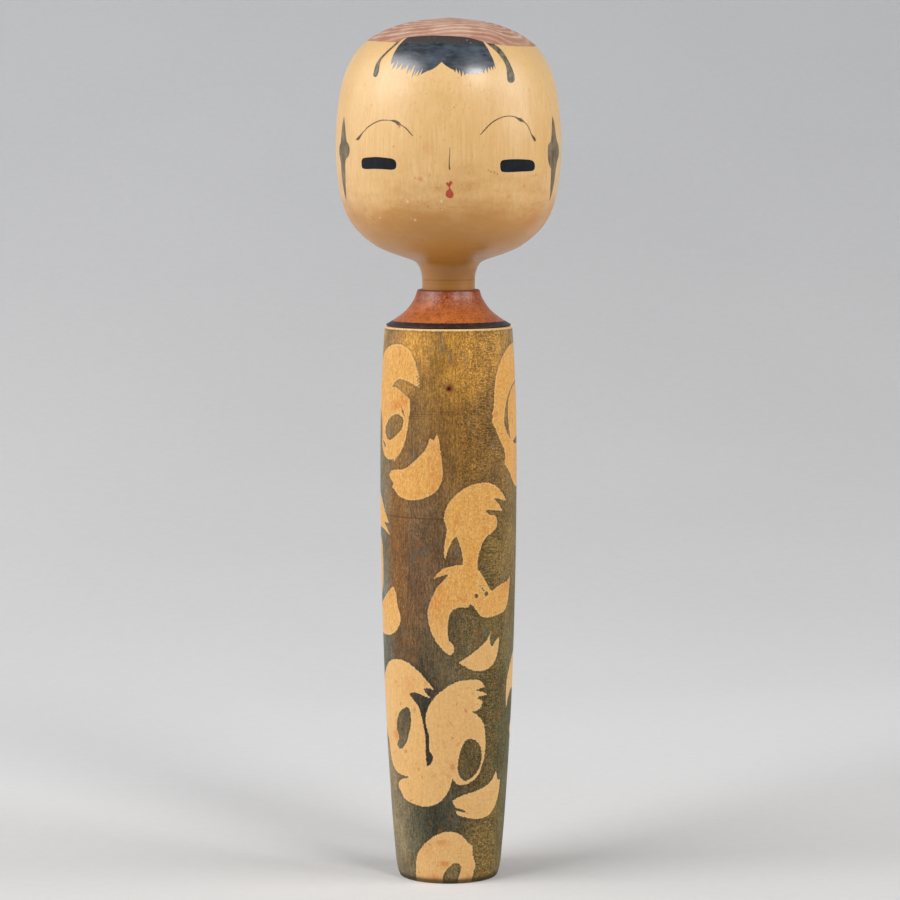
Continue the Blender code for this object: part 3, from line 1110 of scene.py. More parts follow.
def red_stained_wood(colours):
    """The collar: red-brown stain with dark pores, tool rings and a black band at the skirt."""
    f = Finish("red_stained_wood", Specular_IOR_Level=0.45, Coat_Weight=0.2, Coat_Roughness=0.26)
    _, _, z = f.xyz()
    cloud = f.noise(f.stretch(190, 190, 120), detail=4, roughness=0.65)
    pores = f.noise(f.stretch(1500, 1500, 1100), detail=3, roughness=0.6)
    rings = lathe_rings(f, 0.75)
    colour = f.mix(f.ramp(cloud, 0.3, 0.7), colours.collar_dark, colours.collar)
    colour = f.mix(f.times(rings, 0.12), colour, colours.collar_light)
    mottle = f.noise(f.stretch(420, 420, 300, (3, 1, 7)), detail=4, roughness=0.7)
    upper = f.plus(z, f.swing(mottle, 0.012))
    colour = f.mix(f.ramp(upper, 0.1995, 0.2080, 0.0, 0.85), colour, colours.collar_deep)
    colour = f.mix(f.ramp(mottle, 0.54, 0.66, 0.0, 0.6), colour, colours.collar_deep)
    colour = f.mix(f.ramp(pores, 0.56, 0.66, 0.0, 0.9), colour, colours.collar_pore)
    light = f.noise(f.stretch(1700, 1700, 1200, (5, 2, 1)), detail=2)
    colour = f.mix(f.ramp(light, 0.54, 0.70, 0.0, 0.6), colour, colours.collar_light)
    dents = f.noise(f.stretch(330, 330, 330, (1, 6, 3)), detail=2)
    colour = f.mix(f.ramp(dents, 0.68, 0.76, 0.0, 0.7), colour, colours.collar_pore)
    edge_noise = f.noise(f.stretch(600, 600, 300), detail=2)
    wavy = f.plus(z, f.swing(edge_noise, 0.00025))
    band = f.ramp(wavy, 0.19752, 0.19738)
    rim = f.ramp(wavy, 0.20765, 0.2080, 0.0, 0.8)
    faded = f.ramp(f.noise(f.stretch(500, 500, 500), detail=2), 0.4, 0.8, 1.0, 0.88)
    colour = f.mix(f.times(band, faded), colour, colours.band)
    colour = f.mix(rim, colour, colours.rim)
    roughness = f.blend_values(band, f.ramp(cloud, 0.3, 0.7, 0.34, 0.46), 0.5)
    bumps = [(cloud, 0.08, 0.35), (rings, 0.014, 0.35), (pores, 0.05, 0.4), (dents, 0.08, 0.3)]
    return f.done(colour, roughness, bumps)


def stained_body_wood(colours):
    """The body: figured maple under a thin dark stain, with the strokes left as bare waxed wood and a
    painted contact shadow round the foot.
    """
    f = Finish("stained_body_wood", Specular_IOR_Level=0.22)
    _, _, z = f.xyz()
    # grain and figure
    grain = f.noise(f.stretch(1900, 1900, 110), detail=5, roughness=0.7)
    streak = f.noise(f.stretch(1500, 1500, 240), detail=3, roughness=0.6)
    maze = f.noise(f.stretch(1250, 1250, 1500), detail=1, roughness=0.5, distortion=0.8)
    ripple = f.noise(f.stretch(420, 420, 1500), detail=1, roughness=0.5, distortion=0.6)
    turned_to = f.math("ABSOLUTE", f.facing(37))
    drift = f.swing(f.noise(f.stretch(90, 90, 40), detail=3), 0.3)
    turned_to = f.plus(turned_to, drift)
    figure = f.blend_values(f.ramp(turned_to, 0.78, 0.985), streak, maze)
    figure = f.blend_values(f.ramp(turned_to, 0.96, 1.01), figure, ripple)
    contour = f.off_from(figure, 0.5)
    speck = f.noise(f.stretch(1700, 1700, 1200), detail=2, roughness=0.7)
    contrast = f.ramp(turned_to, 0.74, 0.98, 0.4, 0.95)
    # stain, with painted reflection near the left and right edges
    stain = f.attribute("stain", "Color")
    cloud = f.noise(f.stretch(95, 95, 55), detail=5, roughness=0.7)
    ground = f.scaled(stain, f.ramp(cloud, 0.3, 0.7, 0.66, 1.34))
    ground = f.scaled(ground, f.ramp(grain, 0.3, 0.7, 0.76, 1.24))
    dark = f.times(f.ramp(contour, 0.045, 0.11), contrast)
    lit = f.times(f.ramp(contour, 0.05, 0.012), contrast)
    dark_tone = f.scaled(ground, 0.42)
    lit_tone = f.mix(0.3, f.scaled(ground, 1.75), colours.stain_gold)
    ground = f.mix(f.times(dark, 0.75), ground, dark_tone)
    ground = f.mix(f.times(lit, 0.65), ground, lit_tone)
    ground = f.scaled(ground, f.ramp(speck, 0.3, 0.7, 0.66, 1.34))
    rust = f.noise(f.stretch(400, 400, 230, (4, 4, 4)), detail=3, roughness=0.6)
    ground = f.mix(f.ramp(rust, 0.57, 0.70, 0.0, 0.42), ground, colours.stain_rust)
    slate = f.noise(f.stretch(210, 210, 120, (9, 1, 5)), detail=4, roughness=0.65)
    ground = f.mix(f.ramp(slate, 0.56, 0.72, 0.0, 0.5), ground, colours.stain_slate)
    for height, half, azimuth, spread, share in SCRATCHES:
        off = f.off_from(z, height * MM)
        line = f.ramp(off, half * MM, half * 2.4 * MM, share, 0.0)
        line = f.times(line, f.ramp(f.facing(azimuth), spread, spread + 0.03))
        ground = f.mix(line, ground, colours.scratch)
    # bare strokes
    ragged = f.noise(f.stretch(1500, 1500, 1300), detail=4, roughness=0.75)
    ragged = f.swing(ragged, 1.5)
    inside = f.plus(f.attribute("stroke"), ragged)
    share = f.ramp(inside, -0.10, 0.12)
    pool = f.ramp(inside, -1.1, -0.2, 0.0, 0.26)
    ground = f.mix(pool, ground, colours.stain_edge)
    bare = f.mix(f.ramp(grain, 0.3, 0.7), colours.bare_dark, colours.bare)
    bare = f.mix(f.ramp(cloud, 0.35, 0.7, 0.0, 0.5), bare, colours.bare_gold)
    bare = f.mix(f.times(f.ramp(contour, 0.05, 0.12), 0.28), bare, colours.bare_grain)
    bare = f.mix(f.times(f.ramp(contour, 0.05, 0.01), 0.25), bare, colours.bare_rim)
    bare = f.scaled(bare, f.ramp(speck, 0.3, 0.7, 0.84, 1.14))
    bare = f.mix(f.ramp(z, 0.105, 0.075, 0.0, 0.4), bare, colours.bare_rim)
    rim = f.times(f.ramp(inside, 0.7, 0.1), 0.4)
    bare = f.mix(rim, bare, colours.bare_rim)
    tint = f.noise(f.stretch(200, 200, 170, (2, 7, 1)), detail=4, roughness=0.7)
    bare = f.mix(f.ramp(tint, 0.57, 0.72, 0.0, 0.45), bare, colours.blush)
    dots = f.noise(f.stretch(560, 560, 520, (3, 9, 2)), detail=2)
    bare = f.mix(f.ramp(dots, 0.64, 0.74, 0.0, 0.6), bare, colours.bare_grain)
    bare = f.mix(f.ramp(z, 0.1943, 0.1948, 0.0, 0.85), bare, colours.bare_rim)
    blush = f.times(f.attribute("blush"), f.ramp(speck, 0.65, 0.4, 0.4, 1.0))
    bare = f.mix(blush, bare, colours.blush)
    colour = f.mix(share, ground, bare)
    # a small dark knot
    halo = f.times(f.near((2.0, -23.6, 175.7), 0.2, 1.7), 0.5)
    colour = f.mix(halo, colour, colours.stain_gold)
    ring = f.times(f.near((0.6, -23.7, 175.3), 0.6, 2.3), 0.85)
    colour = f.mix(ring, colour, colours.knot_ring)
    colour = f.mix(f.near((0.1, -23.7, 175.1), 0.3, 1.15), colour, colours.knot)
    rings = lathe_rings(f, 0.7)
    worn = f.noise(f.stretch(110, 110, 70), detail=3)
    stained_gloss = f.ramp(worn, 0.3, 0.7, 0.44, 0.58)
    roughness = f.blend_values(share, stained_gloss, f.ramp(worn, 0.3, 0.7, 0.4, 0.5))
    # painted contact shadow: a thin dark line round the bottom edge of the foot
    foot = f.ramp(z, 0.0026, 0.0010, 0.0, 0.85)
    colour = f.mix(foot, colour, colours.contact_shadow_dark)
    bumps = [(grain, 0.06, 0.4), (contour, 0.03, 0.35), (rings, 0.012, 0.25)]
    return f.done(colour, roughness, bumps)


def crown_wash(colours):
    """The crown: a thin red-brown wash, brushed off in pale wavy lines about the whorl."""
    f = Finish("crown_wash", Specular_IOR_Level=0.35)
    x, y, _ = f.xyz()
    square = f.plus(f.times(x, x), f.times(f.times(y, y), 1.25))
    from_middle = f.math("SQRT", square)
    swirl = f.noise(f.stretch(34, 34, 20, (1, 0, 2)), detail=1, distortion=0.6)
    peak = f.off_from(x, 0.005)
    peak = f.times(f.ramp(peak, 0.014, 0.0), f.ramp(y, 0.0, -0.02, 0.0, 0.0030))
    swell = f.swing(swirl, 0.013)
    way = f.plus(f.plus(from_middle, swell), peak)
    waves = f.math("SINE", f.times(way, 2 * math.pi / (2.9 * MM)))
    thin = f.noise(f.stretch(210, 210, 210, (7, 3, 1)), detail=3, roughness=0.6)
    lines = f.plus(waves, f.swing(thin, 3.0))
    cloud = f.noise(f.stretch(120, 120, 120), detail=4, roughness=0.6)
    colour = f.mix(f.ramp(cloud, 0.3, 0.7), colours.crown_dark, colours.crown)
    colour = f.mix(f.ramp(lines, 0.1, 1.2, 0.0, 0.85), colour, colours.crown_line)
    colour = f.mix(f.ramp(lines, -0.5, -1.3, 0.0, 0.5), colour, colours.crown_dark)
    hair = f.noise(f.stretch(900, 900, 260), detail=3)
    colour = f.mix(f.ramp(hair, 0.55, 0.75, 0.0, 0.4), colour, colours.crown_dark)
    colour = f.mix(f.ramp(from_middle, 0.027, 0.0315, 0.0, 0.5), colour, colours.crown_dark)
    bumps = [(lines, 0.04, 0.3), (hair, 0.03, 0.25)]
    return f.done(colour, f.ramp(cloud, 0.3, 0.7, 0.46, 0.64), bumps)


def fringe_lacquer(colours):
    """The fringe: thick black paint with a blue-grey gloss and blue-grey blotches, partly bloom and partly
    painted sheen, matt and chipped near the crown.
    """
    f = Finish("fringe_lacquer", Specular_IOR_Level=0.7, Coat_Weight=1.0, Coat_Roughness=0.21)
    _, _, z = f.xyz()
    brushed = f.noise(f.stretch(260, 260, 900), detail=3, roughness=0.6)
    cloud = f.noise(f.stretch(170, 170, 170), detail=3)
    colour = f.mix(f.ramp(brushed, 0.3, 0.7), colours.fringe_dark, colours.fringe)
    # blue-grey blotches: partly bloom on the paint, partly painted sheen
    colour = f.mix(f.ramp(cloud, 0.45, 0.75, 0.0, 0.4), colour, colours.fringe_bloom_and_sheen)
    wavy = f.plus(z, f.swing(cloud, 0.002))
    matt = f.ramp(wavy, 0.2927, 0.2936)
    colour = f.mix(matt, colour, colours.fringe_matt)
    chips = f.noise(f.stretch(1100, 1100, 1100), detail=1)
    chips = f.times(f.ramp(chips, 0.72, 0.76), matt)
    colour = f.mix(chips, colour, CHIPPED)
    roughness = f.blend_values(matt, f.ramp(brushed, 0.3, 0.7, 0.28, 0.38), 0.62)
    return f.done(colour, roughness, [(brushed, 0.03, 0.25), (cloud, 0.05, 0.2)])


def brushed_ink(name, dark, light, cell, slope, gloss=0.5, shine=0.5):
    """Watery ink that has pooled: blotches of its dark and light tones at one cell per mm count."""
    f = Finish(name, Specular_IOR_Level=shine, Coat_Weight=0.2 * shine, Coat_Roughness=0.35)
    pooled = f.noise(f.stretch(cell, cell, cell * slope), detail=3, roughness=0.6)
    fine = f.noise(f.stretch(cell * 4, cell * 4, cell), detail=2)
    colour = f.mix(f.ramp(pooled, 0.34, 0.66), dark, light)
    colour = f.mix(f.ramp(fine, 0.55, 0.75, 0.0, 0.4), colour, dark)
    roughness = f.ramp(pooled, 0.3, 0.7, gloss - 0.06, gloss + 0.08)
    return f.done(colour, roughness, [(pooled, 0.03, 0.3), (fine, 0.015, 0.2)])


# ---------------------------------------------------------------- settings


def colour_property(name, description, default):
    """A colour setting, with its default as sRGB from 0 to 255."""
    return bpy.props.FloatVectorProperty(
        name=name,
        description=description,
        size=3,
        min=0,
        max=1,
        subtype="COLOR",
        default=tuple(float(c) for c in to_linear(default)),
    )


def length_property(name, description, default_mm):
    """A length setting, with its default in mm."""
    return bpy.props.FloatProperty(
        name=name, description=description, default=default_mm * MM, min=0, unit="LENGTH"
    )


class KokeshiSizes(bpy.types.PropertyGroup):
    paint_thickness: length_property("Paint thickness", "Thickness of the ink and lip paint", 0.08)
    crown_thickness: length_property("Crown thickness", "Thickness of the wash on the crown", 0.14)
    edge_rounding: length_property("Edge rounding", "Rounding of the turned edges", 0.15)
    head_segments: bpy.props.IntProperty(
        name="Head segments", description="Sides of the turned head", default=256, min=32
    )
    body_segments: bpy.props.IntProperty(
        name="Body segments", description="Sides of the turned body", default=264, min=32
    )
    head_rows: length_property("Head rows", "Spacing of the rows on the head", 0.9)
    body_rows: length_property("Body rows", "Spacing of the rows on the body", 0.585)
    collar_rows: length_property("Collar rows", "Spacing of the rows on the collar", 0.4)


def power_property(name, description, watts):
    """A light's power setting, in watts."""
    return bpy.props.FloatProperty(name=name, description=description, default=watts, min=0, subtype="POWER")


class KokeshiColours(bpy.types.PropertyGroup):
    pale_wood: colour_property("Pale wood", "Waxed wood of the head", (230, 190, 130))
    pale_wood_dark: colour_property("Pale wood grain", "Grain of the head", (219, 174, 113))
    pale_wood_gold: colour_property("Golden wood", "Golden clouds on the head", (220, 170, 98))
    # partly painted light on the forehead
    pale_wood_with_painted_light: colour_property("Forehead", "Lighter wood above the brows", (235, 198, 141))
    # the two patina colours are partly painted shade at and under the chin
    patina_and_shade: colour_property("Patina", "Darkened wax at the chin", (186, 126, 50))
    deep_patina_and_shade: colour_property("Deep patina", "Darkened wax under the chin", (146, 92, 22))
    soil: colour_property("Soil", "Brown handling marks on the face", (150, 92, 36))
    nick: colour_property("Nicks", "Small white nicks", (232, 216, 190))
    fleck: colour_property("Flecks", "Small dark flecks of the head", (166, 118, 66))
    smear: colour_property("Smears", "Old reddish smears on the face", (200, 104, 56))
    lathe_line: colour_property("Lathe line", "Dark line turned round the neck", (86, 56, 26))
    collar: colour_property("Collar", "Red-brown stain of the collar", (185, 103, 48))
    collar_dark: colour_property("Collar dark", "Darker stain of the collar", (160, 84, 37))
    collar_light: colour_property("Collar light", "Worn stain of the collar", (204, 122, 66))
    collar_deep: colour_property("Collar deep", "Old dark stain high on the collar", (128, 54, 28))
    collar_pore: colour_property("Collar pores", "Dark pores of the collar", (84, 40, 20))
    band: colour_property("Band", "Black band on the collar's skirt", (26, 18, 26))
    rim: colour_property("Rim", "Dark line at the collar's rim", (96, 44, 22))
    bare: colour_property("Bare wood", "Strokes left as bare wood", (231, 176, 97))
    bare_dark: colour_property("Bare grain", "Grain of the strokes", (214, 154, 76))
    bare_gold: colour_property("Bare gold", "Golden clouds in the strokes", (224, 162, 70))
    bare_grain: colour_property("Bare streaks", "Brown streaks in the strokes", (184, 120, 54))
    bare_rim: colour_property("Stroke rim", "Pale rim inside a stroke's edge", (232, 196, 142))
    blush: colour_property("Blush", "Reddish marks in the strokes", (200, 116, 52))
    # used only for the painted contact shadow round the foot, not for the figure
    contact_shadow_dark: colour_property("Dark figure", "Dark lines of the figured stain", (58, 42, 18))
    stain_gold: colour_property("Gold figure", "Golden lines of the figured stain", (184, 144, 78))
    stain_rust: colour_property("Rust", "Rusty blotches of the stain", (150, 92, 40))
    stain_edge: colour_property("Pooled stain", "Stain pooled beside the strokes", (62, 46, 26))
    stain_slate: colour_property("Slate", "Blue-grey blotches of the stain", (92, 92, 84))
    scratch: colour_property("Scratches", "Fine lines round the body", (92, 56, 26))
    knot: colour_property("Knot", "The small knot on the chest", (58, 16, 8))
    knot_ring: colour_property("Knot ring", "Red-brown round the knot", (118, 62, 24))
    crown: colour_property("Crown", "Red-brown wash of the crown", (202, 160, 140))
    crown_dark: colour_property("Crown dark", "Darker wash of the crown", (172, 120, 98))
    crown_line: colour_property("Crown lines", "Pale lines of the crown", (222, 196, 172))
    fringe: colour_property("Fringe", "Black paint of the fringe", (66, 74, 84))
    fringe_dark: colour_property("Fringe dark", "Brushed dark of the fringe", (38, 44, 52))
    # partly painted sheen
    fringe_bloom_and_sheen: colour_property("Fringe haze", "Blue-grey bloom of the fringe", (104, 115, 128))
    fringe_matt: colour_property("Fringe matt", "Matt paint near the crown", (56, 52, 50))


class KokeshiStudio(bpy.types.PropertyGroup):
    key_watts: power_property("Key", "Power of the small right softbox", 2.8)
    left_watts: power_property("Left", "Power of the large left softbox", 33.0)
    edge_watts: power_property("Edge", "Power of the softbox beside the doll on its left", 7.4)
    right_watts: power_property("Right", "Power of the large right softbox", 20.0)
    world_light: bpy.props.FloatProperty(
        name="Room light", description="Strength of the room's own light", default=0.05, min=0
    )
    room_seen: bpy.props.FloatProperty(
        name="Room seen", description="How light the room looks past the paper", default=0.5, min=0
    )
    lens: bpy.props.FloatProperty(
        name="Lens", description="Focal length on a 36 mm sensor", default=127.52, min=10
    )
    camera_height: length_property("Camera height", "Height of the camera above the floor", 257)
    camera_distance: length_property("Camera distance", "Distance from the doll's axis", 1119.8)
    camera_pitch: bpy.props.FloatProperty(
        name="Pitch",
        description="How far the camera looks down",
        default=math.radians(5.373),
        subtype="ANGLE",
        unit="ROTATION",
    )


# ---------------------------------------------------------------- operators


class KOKESHI_OT_head(bpy.types.Operator):
    """Turns the head with its neck and tenon from the frame's outline, in pale waxed wood"""

    bl_idname = "kokeshi.head"
    bl_label = "Turned head"

    def execute(self, context):
        sizes = context.scene.kokeshi_sizes

        def rows(run):
            return sizes.head_rows / MM if max(p[1] for p in run) > NECK_TOP + 1 else HIDDEN_ROWS

        head = turn(HEAD, "head", sizes.head_segments, rows, sizes.edge_rounding / MM)
        wood = pale_waxed_wood(context.scene.kokeshi_colours)
        finish_piece(head, wood, HEAD_BODY)
        return {"FINISHED"}


class KOKESHI_OT_collar(bpy.types.Operator):
    """Turns the collar from the frame's outline, in red stain with a black band"""

    bl_idname = "kokeshi.collar"
    bl_label = "Shoulder collar"

    def execute(self, context):
        sizes = context.scene.kokeshi_sizes

        def rows(run):
            return sizes.collar_rows / MM if len(run) > 4 else COLLAR_HIDDEN_ROWS

        collar = turn(COLLAR, "collar", sizes.head_segments, rows, sizes.edge_rounding / MM)
        wood = red_stained_wood(context.scene.kokeshi_colours)
        finish_piece(collar, wood, TRUNK_BODY)
        return {"FINISHED"}


class KOKESHI_OT_body(bpy.types.Operator):
    """Turns the body and sets out its bare strokes, stain and blush"""

    bl_idname = "kokeshi.body"
    bl_label = "Turned body"

    def execute(self, context):
        sizes = context.scene.kokeshi_sizes

        def rows(run):
            return sizes.body_rows / MM if len(run) > 8 else HIDDEN_ROWS

        body = turn(BODY, "body", sizes.body_segments, rows, sizes.edge_rounding / MM)
        azimuth, height, radius = surface_places(body.data)
        field = stroke_field(azimuth, height, radius)
        field = np.maximum(field, height - ARRIS_Z)
        under_base = (height < 0.2) & (radius < BASE_REACH)
        unstained = (radius < SPIGOT_REACH) | under_base | (height > SHOULDER_FACE_Z)
        field = np.where(unstained, FAR, field)
        add_attribute(body.data, "stroke", field)
        # the stain colours hold painted reflection near the body's left and right edges
        stain = stain_and_sheen_field(azimuth, height)
        stain = np.column_stack([stain, np.ones(len(stain))])
        add_attribute(body.data, "stain", stain, "FLOAT_COLOR")
        add_attribute(body.data, "blush", blush_field(azimuth, height))
        wood = stained_body_wood(context.scene.kokeshi_colours)
        finish_piece(body, wood, TRUNK_BODY)
        return {"FINISHED"}


class KOKESHI_OT_crown(bpy.types.Operator):
    """Lays the painted crown on top of the head"""

    bl_idname = "kokeshi.crown"
    bl_label = "Crown"

    def execute(self, context):
        sizes = context.scene.kokeshi_sizes
        corner = [
            (r * math.sin(math.radians(a)), -r * math.cos(math.radians(a))) for a, r in CROWN_EDGE
        ]
        edge = smooth_through(corner, 0.9, closed=True)
        above = 330 * MM
        wire = [(x * MM, y * MM, above) for x, y in [*edge, edge[0]]]
        crown = draw_wire("hair_crown", wire)
        wrap_sheet(crown, 1.0 * MM, 2, -1)
        thicken(crown, sizes.crown_thickness)
        wash = crown_wash(context.scene.kokeshi_colours)
        finish_piece(crown, wash, HEAD_BODY)
        return {"FINISHED"}


class KOKESHI_OT_fringe(bpy.types.Operator):
    """Paints the fringe with its dry-brush ends"""

    bl_idname = "kokeshi.fringe"
    bl_label = "Fringe"

    def execute(self, context):
        sizes = context.scene.kokeshi_sizes
        shape = seen_in_front(outline(FRINGE, 0.6, 31))
        fringe = paint_film("hair_fringe", shape, 0, sizes.paint_thickness)
        lacquer = fringe_lacquer(context.scene.kokeshi_colours)
        finish_piece(fringe, lacquer, HEAD_BODY)
        return {"FINISHED"}


class KOKESHI_OT_side_strokes(bpy.types.Operator):
    """Paints the two sidelocks that hang from the crown and the two strokes of side hair"""

    bl_idname = "kokeshi.side_strokes"
    bl_label = "Sidelocks and side hair"

    def execute(self, context):
        thickness = context.scene.kokeshi_sizes.paint_thickness
        ink = brushed_ink("sidelock_ink", to_tone(62, 54, 38), to_tone(122, 112, 88), 900, 0.6)
        for name, path in [("sidelock_left", SIDELOCK_LEFT), ("sidelock_right", SIDELOCK_RIGHT)]:
            shape = seen_in_front(brush_line(path, 0.4))
            finish_piece(paint_film(name, shape, 0, thickness), ink, HEAD_BODY)
        ink = brushed_ink("side_hair_ink", to_tone(84, 66, 46), to_tone(128, 114, 86), 420, 0.5)
        for name, runs, centre in [
            ("side_hair_left", SIDE_HAIR_LEFT, -66),
            ("side_hair_right", SIDE_HAIR_RIGHT, 68),
        ]:
            shape = outline(runs, 0.5, 41, HEAD_DEGREE)
            finish_piece(paint_film(name, shape, centre, thickness), ink, HEAD_BODY)
        return {"FINISHED"}


class KOKESHI_OT_eyes(bpy.types.Operator):
    """Paints the two eyes, short round-ended bars"""

    bl_idname = "kokeshi.eyes"
    bl_label = "Eyes"

    def execute(self, context):
        thickness = context.scene.kokeshi_sizes.paint_thickness
        ink = brushed_ink("eye_ink", to_tone(8, 10, 14), to_tone(16, 26, 38), 480, 0.8, 0.6, 0.18)
        for name, loop, centre in [("eye_left", EYE_LEFT, -37.7), ("eye_right", EYE_RIGHT, 37.6)]:
            scaled = smooth_through([(a * HEAD_DEGREE, z) for a, z in loop], 0.35, closed=True)
            shape = [(a / HEAD_DEGREE, z) for a, z in scaled]
            finish_piece(paint_film(name, shape, centre, thickness), ink, HEAD_BODY)
        return {"FINISHED"}


class KOKESHI_OT_brows_and_nose(bpy.types.Operator):
    """Paints the two thin brows and the line of the nose"""

    bl_idname = "kokeshi.brows_and_nose"
    bl_label = "Brows and nose"

    def execute(self, context):
        thickness = context.scene.kokeshi_sizes.paint_thickness
        ink = brushed_ink("brow_ink", to_tone(70, 42, 18), to_tone(134, 96, 50), 700, 1.0)
        for name, path, centre in [("brow_left", BROW_LEFT, -36), ("brow_right", BROW_RIGHT, 32)]:
            scaled = [(a * HEAD_DEGREE, z, half) for a, z, half in path]
            shape = [(a / HEAD_DEGREE, z) for a, z in brush_line(scaled, 0.4)]
            finish_piece(paint_film(name, shape, centre, thickness), ink, HEAD_BODY)
        ink = brushed_ink("nose_ink", to_tone(96, 66, 34), to_tone(148, 112, 68), 700, 0.6)
        nose = paint_film("nose_line", seen_in_front(brush_line(NOSE, 0.4)), 0, thickness)
        finish_piece(nose, ink, HEAD_BODY)
        return {"FINISHED"}


class KOKESHI_OT_lips(bpy.types.Operator):
    """Paints the small red lips"""

    bl_idname = "kokeshi.lips"
    bl_label = "Lips"

    def execute(self, context):
        thickness = context.scene.kokeshi_sizes.paint_thickness
        red = brushed_ink("lip_red", to_tone(150, 62, 26), to_tone(196, 70, 46), 900, 0.7)
        for name, runs in [("lip_upper", LIP_UPPER), ("lip_lower", LIP_LOWER)]:
            shape = seen_in_front(outline(runs, 0.2, 51))
            finish_piece(paint_film(name, shape, 0, thickness, 0.4), red, HEAD_BODY)
        return {"FINISHED"}


def to_tone(red, green, blue):
    """An sRGB colour from 0 to 255 as a plain tuple of linear values."""
    return tuple(float(c) for c in to_linear((red, green, blue)))


def softbox(name, watts, azimuth, elevation, distance, side, colour):
    """A square area light, placed by its bearing from the doll's middle and turned to it."""
    a, e = math.radians(azimuth), math.radians(elevation)
    aim = Vector(DOLL_MIDDLE)
    toward = Vector((math.sin(a) * math.cos(e), -math.cos(a) * math.cos(e), math.sin(e)))
    lamp = bpy.data.lights.new(name, "AREA")
    lamp.shape = "RECTANGLE"
    lamp.size, lamp.size_y = side, side
    lamp.energy = watts
    lamp.color = colour
    light = bpy.data.objects.new(name, lamp)
    bpy.context.scene.collection.objects.link(light)
    light.location = aim + toward * distance
    light.rotation_euler = (-toward).to_track_quat("-Z", "Y").to_euler()
    return light


def backdrop_paper():
    """Plain pale grey paper, a little lighter towards its back and where it curves up, as painted light
    where the softboxes light it less.
    """
    f = Finish("backdrop_paper", Specular_IOR_Level=0.2)
    _, y, z = f.xyz()
    fibre = f.noise(f.stretch(220, 220, 220), detail=3)
    cloud = f.noise(f.stretch(3, 3, 3), detail=2)
    # painted light: the paper is lighter towards the back and up the curve
    colour = f.mix(f.ramp(y, -0.06, 0.36), to_tone(226, 225, 224), to_tone(241, 241, 242))
    colour = f.mix(f.ramp(z, 0.0, 0.55), colour, to_tone(249, 250, 253))
    colour = f.scaled(colour, f.ramp(cloud, 0.3, 0.7, 0.985, 1.015))
    colour = f.scaled(colour, f.ramp(fibre, 0.3, 0.7, 0.99, 1.01))
    return f.done(colour, 0.9)


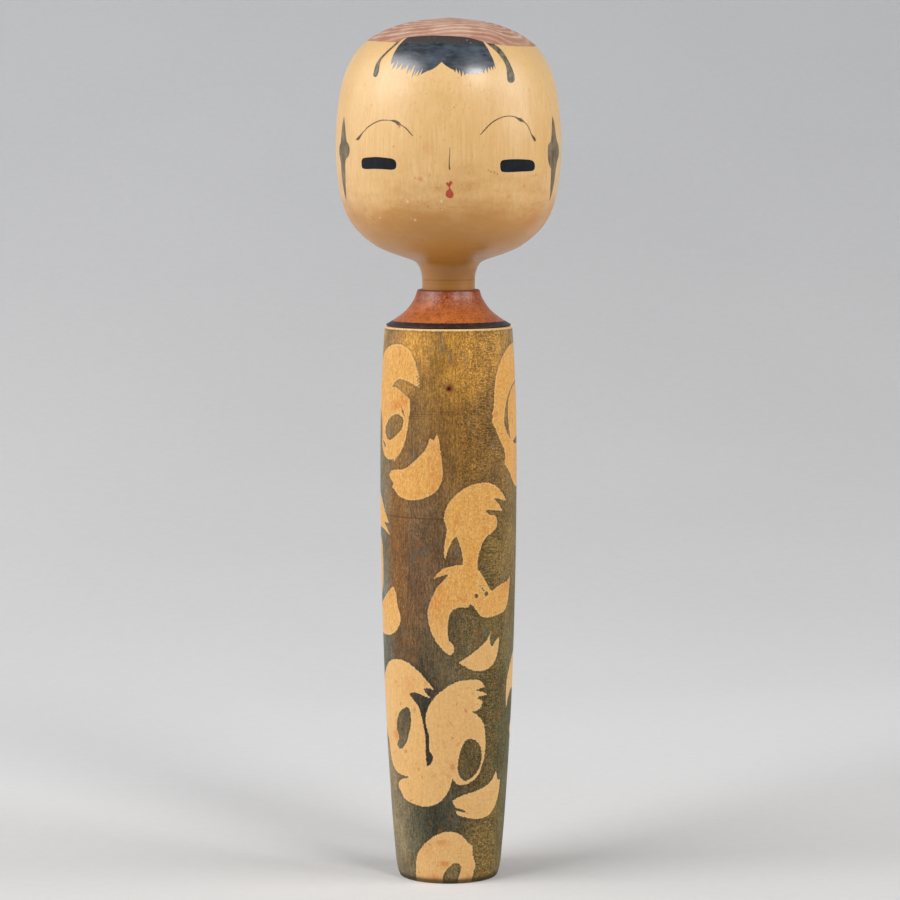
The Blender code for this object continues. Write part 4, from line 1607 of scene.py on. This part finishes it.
class KOKESHI_OT_stage(bpy.types.Operator):
    """Sets the paper sweep, the lights and the camera"""

    bl_idname = "kokeshi.stage"
    bl_label = "Stage"

    def execute(self, context):
        studio = context.scene.kokeshi_studio
        wide, near, far, tall, bend = 6.0, -2.5, 2.6, 4.0, 2.2
        arc = [math.radians(a) for a in range(0, 91, 5)]
        side = [(near, 0.0)]
        side += [(far - bend + bend * math.sin(a), bend - bend * math.cos(a)) for a in arc]
        side += [(far, tall)]
        sweep = draw_wire("paper_sweep", [(-wide / 2, y, z) for y, z in side])
        edit_all()
        bpy.ops.mesh.extrude_region_move(TRANSFORM_OT_translate={"value": (wide, 0, 0)})
        bpy.ops.mesh.select_all(action="SELECT")
        bpy.ops.mesh.normals_make_consistent(inside=False)
        leave_edit()
        bpy.ops.object.shade_smooth()
        sweep.data.materials.append(backdrop_paper())

        for name, *setting in SOFTBOXES:
            softbox(f"{name}_softbox", getattr(studio, f"{name}_watts"), *setting)

        world = bpy.data.worlds.new("room")
        world.use_nodes = True
        room = world.node_tree.nodes["Background"]
        room.inputs["Color"].default_value = (1.0, 1.0, 1.0, 1)
        ray = world.node_tree.nodes.new("ShaderNodeLightPath")
        strength = world.node_tree.nodes.new("ShaderNodeMapRange")
        strength.inputs["To Min"].default_value = studio.world_light
        strength.inputs["To Max"].default_value = studio.room_seen
        world.node_tree.links.new(ray.outputs["Is Camera Ray"], strength.inputs["Value"])
        world.node_tree.links.new(strength.outputs["Result"], room.inputs["Strength"])
        context.scene.world = world

        lens = bpy.data.cameras.new("camera")
        lens.lens = studio.lens
        lens.sensor_width = 36
        lens.clip_start, lens.clip_end = 0.05, 20
        camera = bpy.data.objects.new("camera", lens)
        context.scene.collection.objects.link(camera)
        camera.location = (CAMERA_ASIDE, -studio.camera_distance, studio.camera_height)
        camera.rotation_euler = (math.pi / 2 - studio.camera_pitch, 0, 0)
        context.scene.camera = camera
        context.scene.view_settings.view_transform = "Standard"
        return {"FINISHED"}


PIECE_OPERATORS = (
    KOKESHI_OT_head,
    KOKESHI_OT_collar,
    KOKESHI_OT_body,
    KOKESHI_OT_crown,
    KOKESHI_OT_fringe,
    KOKESHI_OT_side_strokes,
    KOKESHI_OT_eyes,
    KOKESHI_OT_brows_and_nose,
    KOKESHI_OT_lips,
    KOKESHI_OT_stage,
)


class KOKESHI_PT_panel(bpy.types.Panel):
    """Lists the doll's pieces and the stage"""

    bl_idname = "KOKESHI_PT_panel"
    bl_label = "Kokeshi Doll"
    bl_space_type = "VIEW_3D"
    bl_region_type = "UI"
    bl_category = "Kokeshi"

    def draw(self, context):
        for operator in PIECE_OPERATORS:
            self.layout.operator(operator.bl_idname)
        self.layout.prop(context.scene.kokeshi_sizes, "paint_thickness")
        self.layout.prop(context.scene.kokeshi_studio, "key_watts")


SETTINGS = (
    ("kokeshi_sizes", KokeshiSizes),
    ("kokeshi_colours", KokeshiColours),
    ("kokeshi_studio", KokeshiStudio),
)


def register():
    """Registers the settings, the operators and the panel."""
    for name, group in SETTINGS:
        bpy.utils.register_class(group)
        setattr(bpy.types.Scene, name, bpy.props.PointerProperty(type=group))
    for thing in (*PIECE_OPERATORS, KOKESHI_PT_panel):
        bpy.utils.register_class(thing)


def unregister():
    """Takes away all that register added."""
    for thing in (KOKESHI_PT_panel, *reversed(PIECE_OPERATORS)):
        bpy.utils.unregister_class(thing)
    for name, group in reversed(SETTINGS):
        delattr(bpy.types.Scene, name)
        bpy.utils.unregister_class(group)


def main():
    """Builds every piece and the stage."""
    register()
    clear_selection()
    bpy.ops.kokeshi.head()
    bpy.ops.kokeshi.collar()
    bpy.ops.kokeshi.body()
    bpy.ops.kokeshi.crown()
    bpy.ops.kokeshi.fringe()
    bpy.ops.kokeshi.side_strokes()
    bpy.ops.kokeshi.eyes()
    bpy.ops.kokeshi.brows_and_nose()
    bpy.ops.kokeshi.lips()
    bpy.ops.kokeshi.stage()


if __name__ == "__main__":
    main()
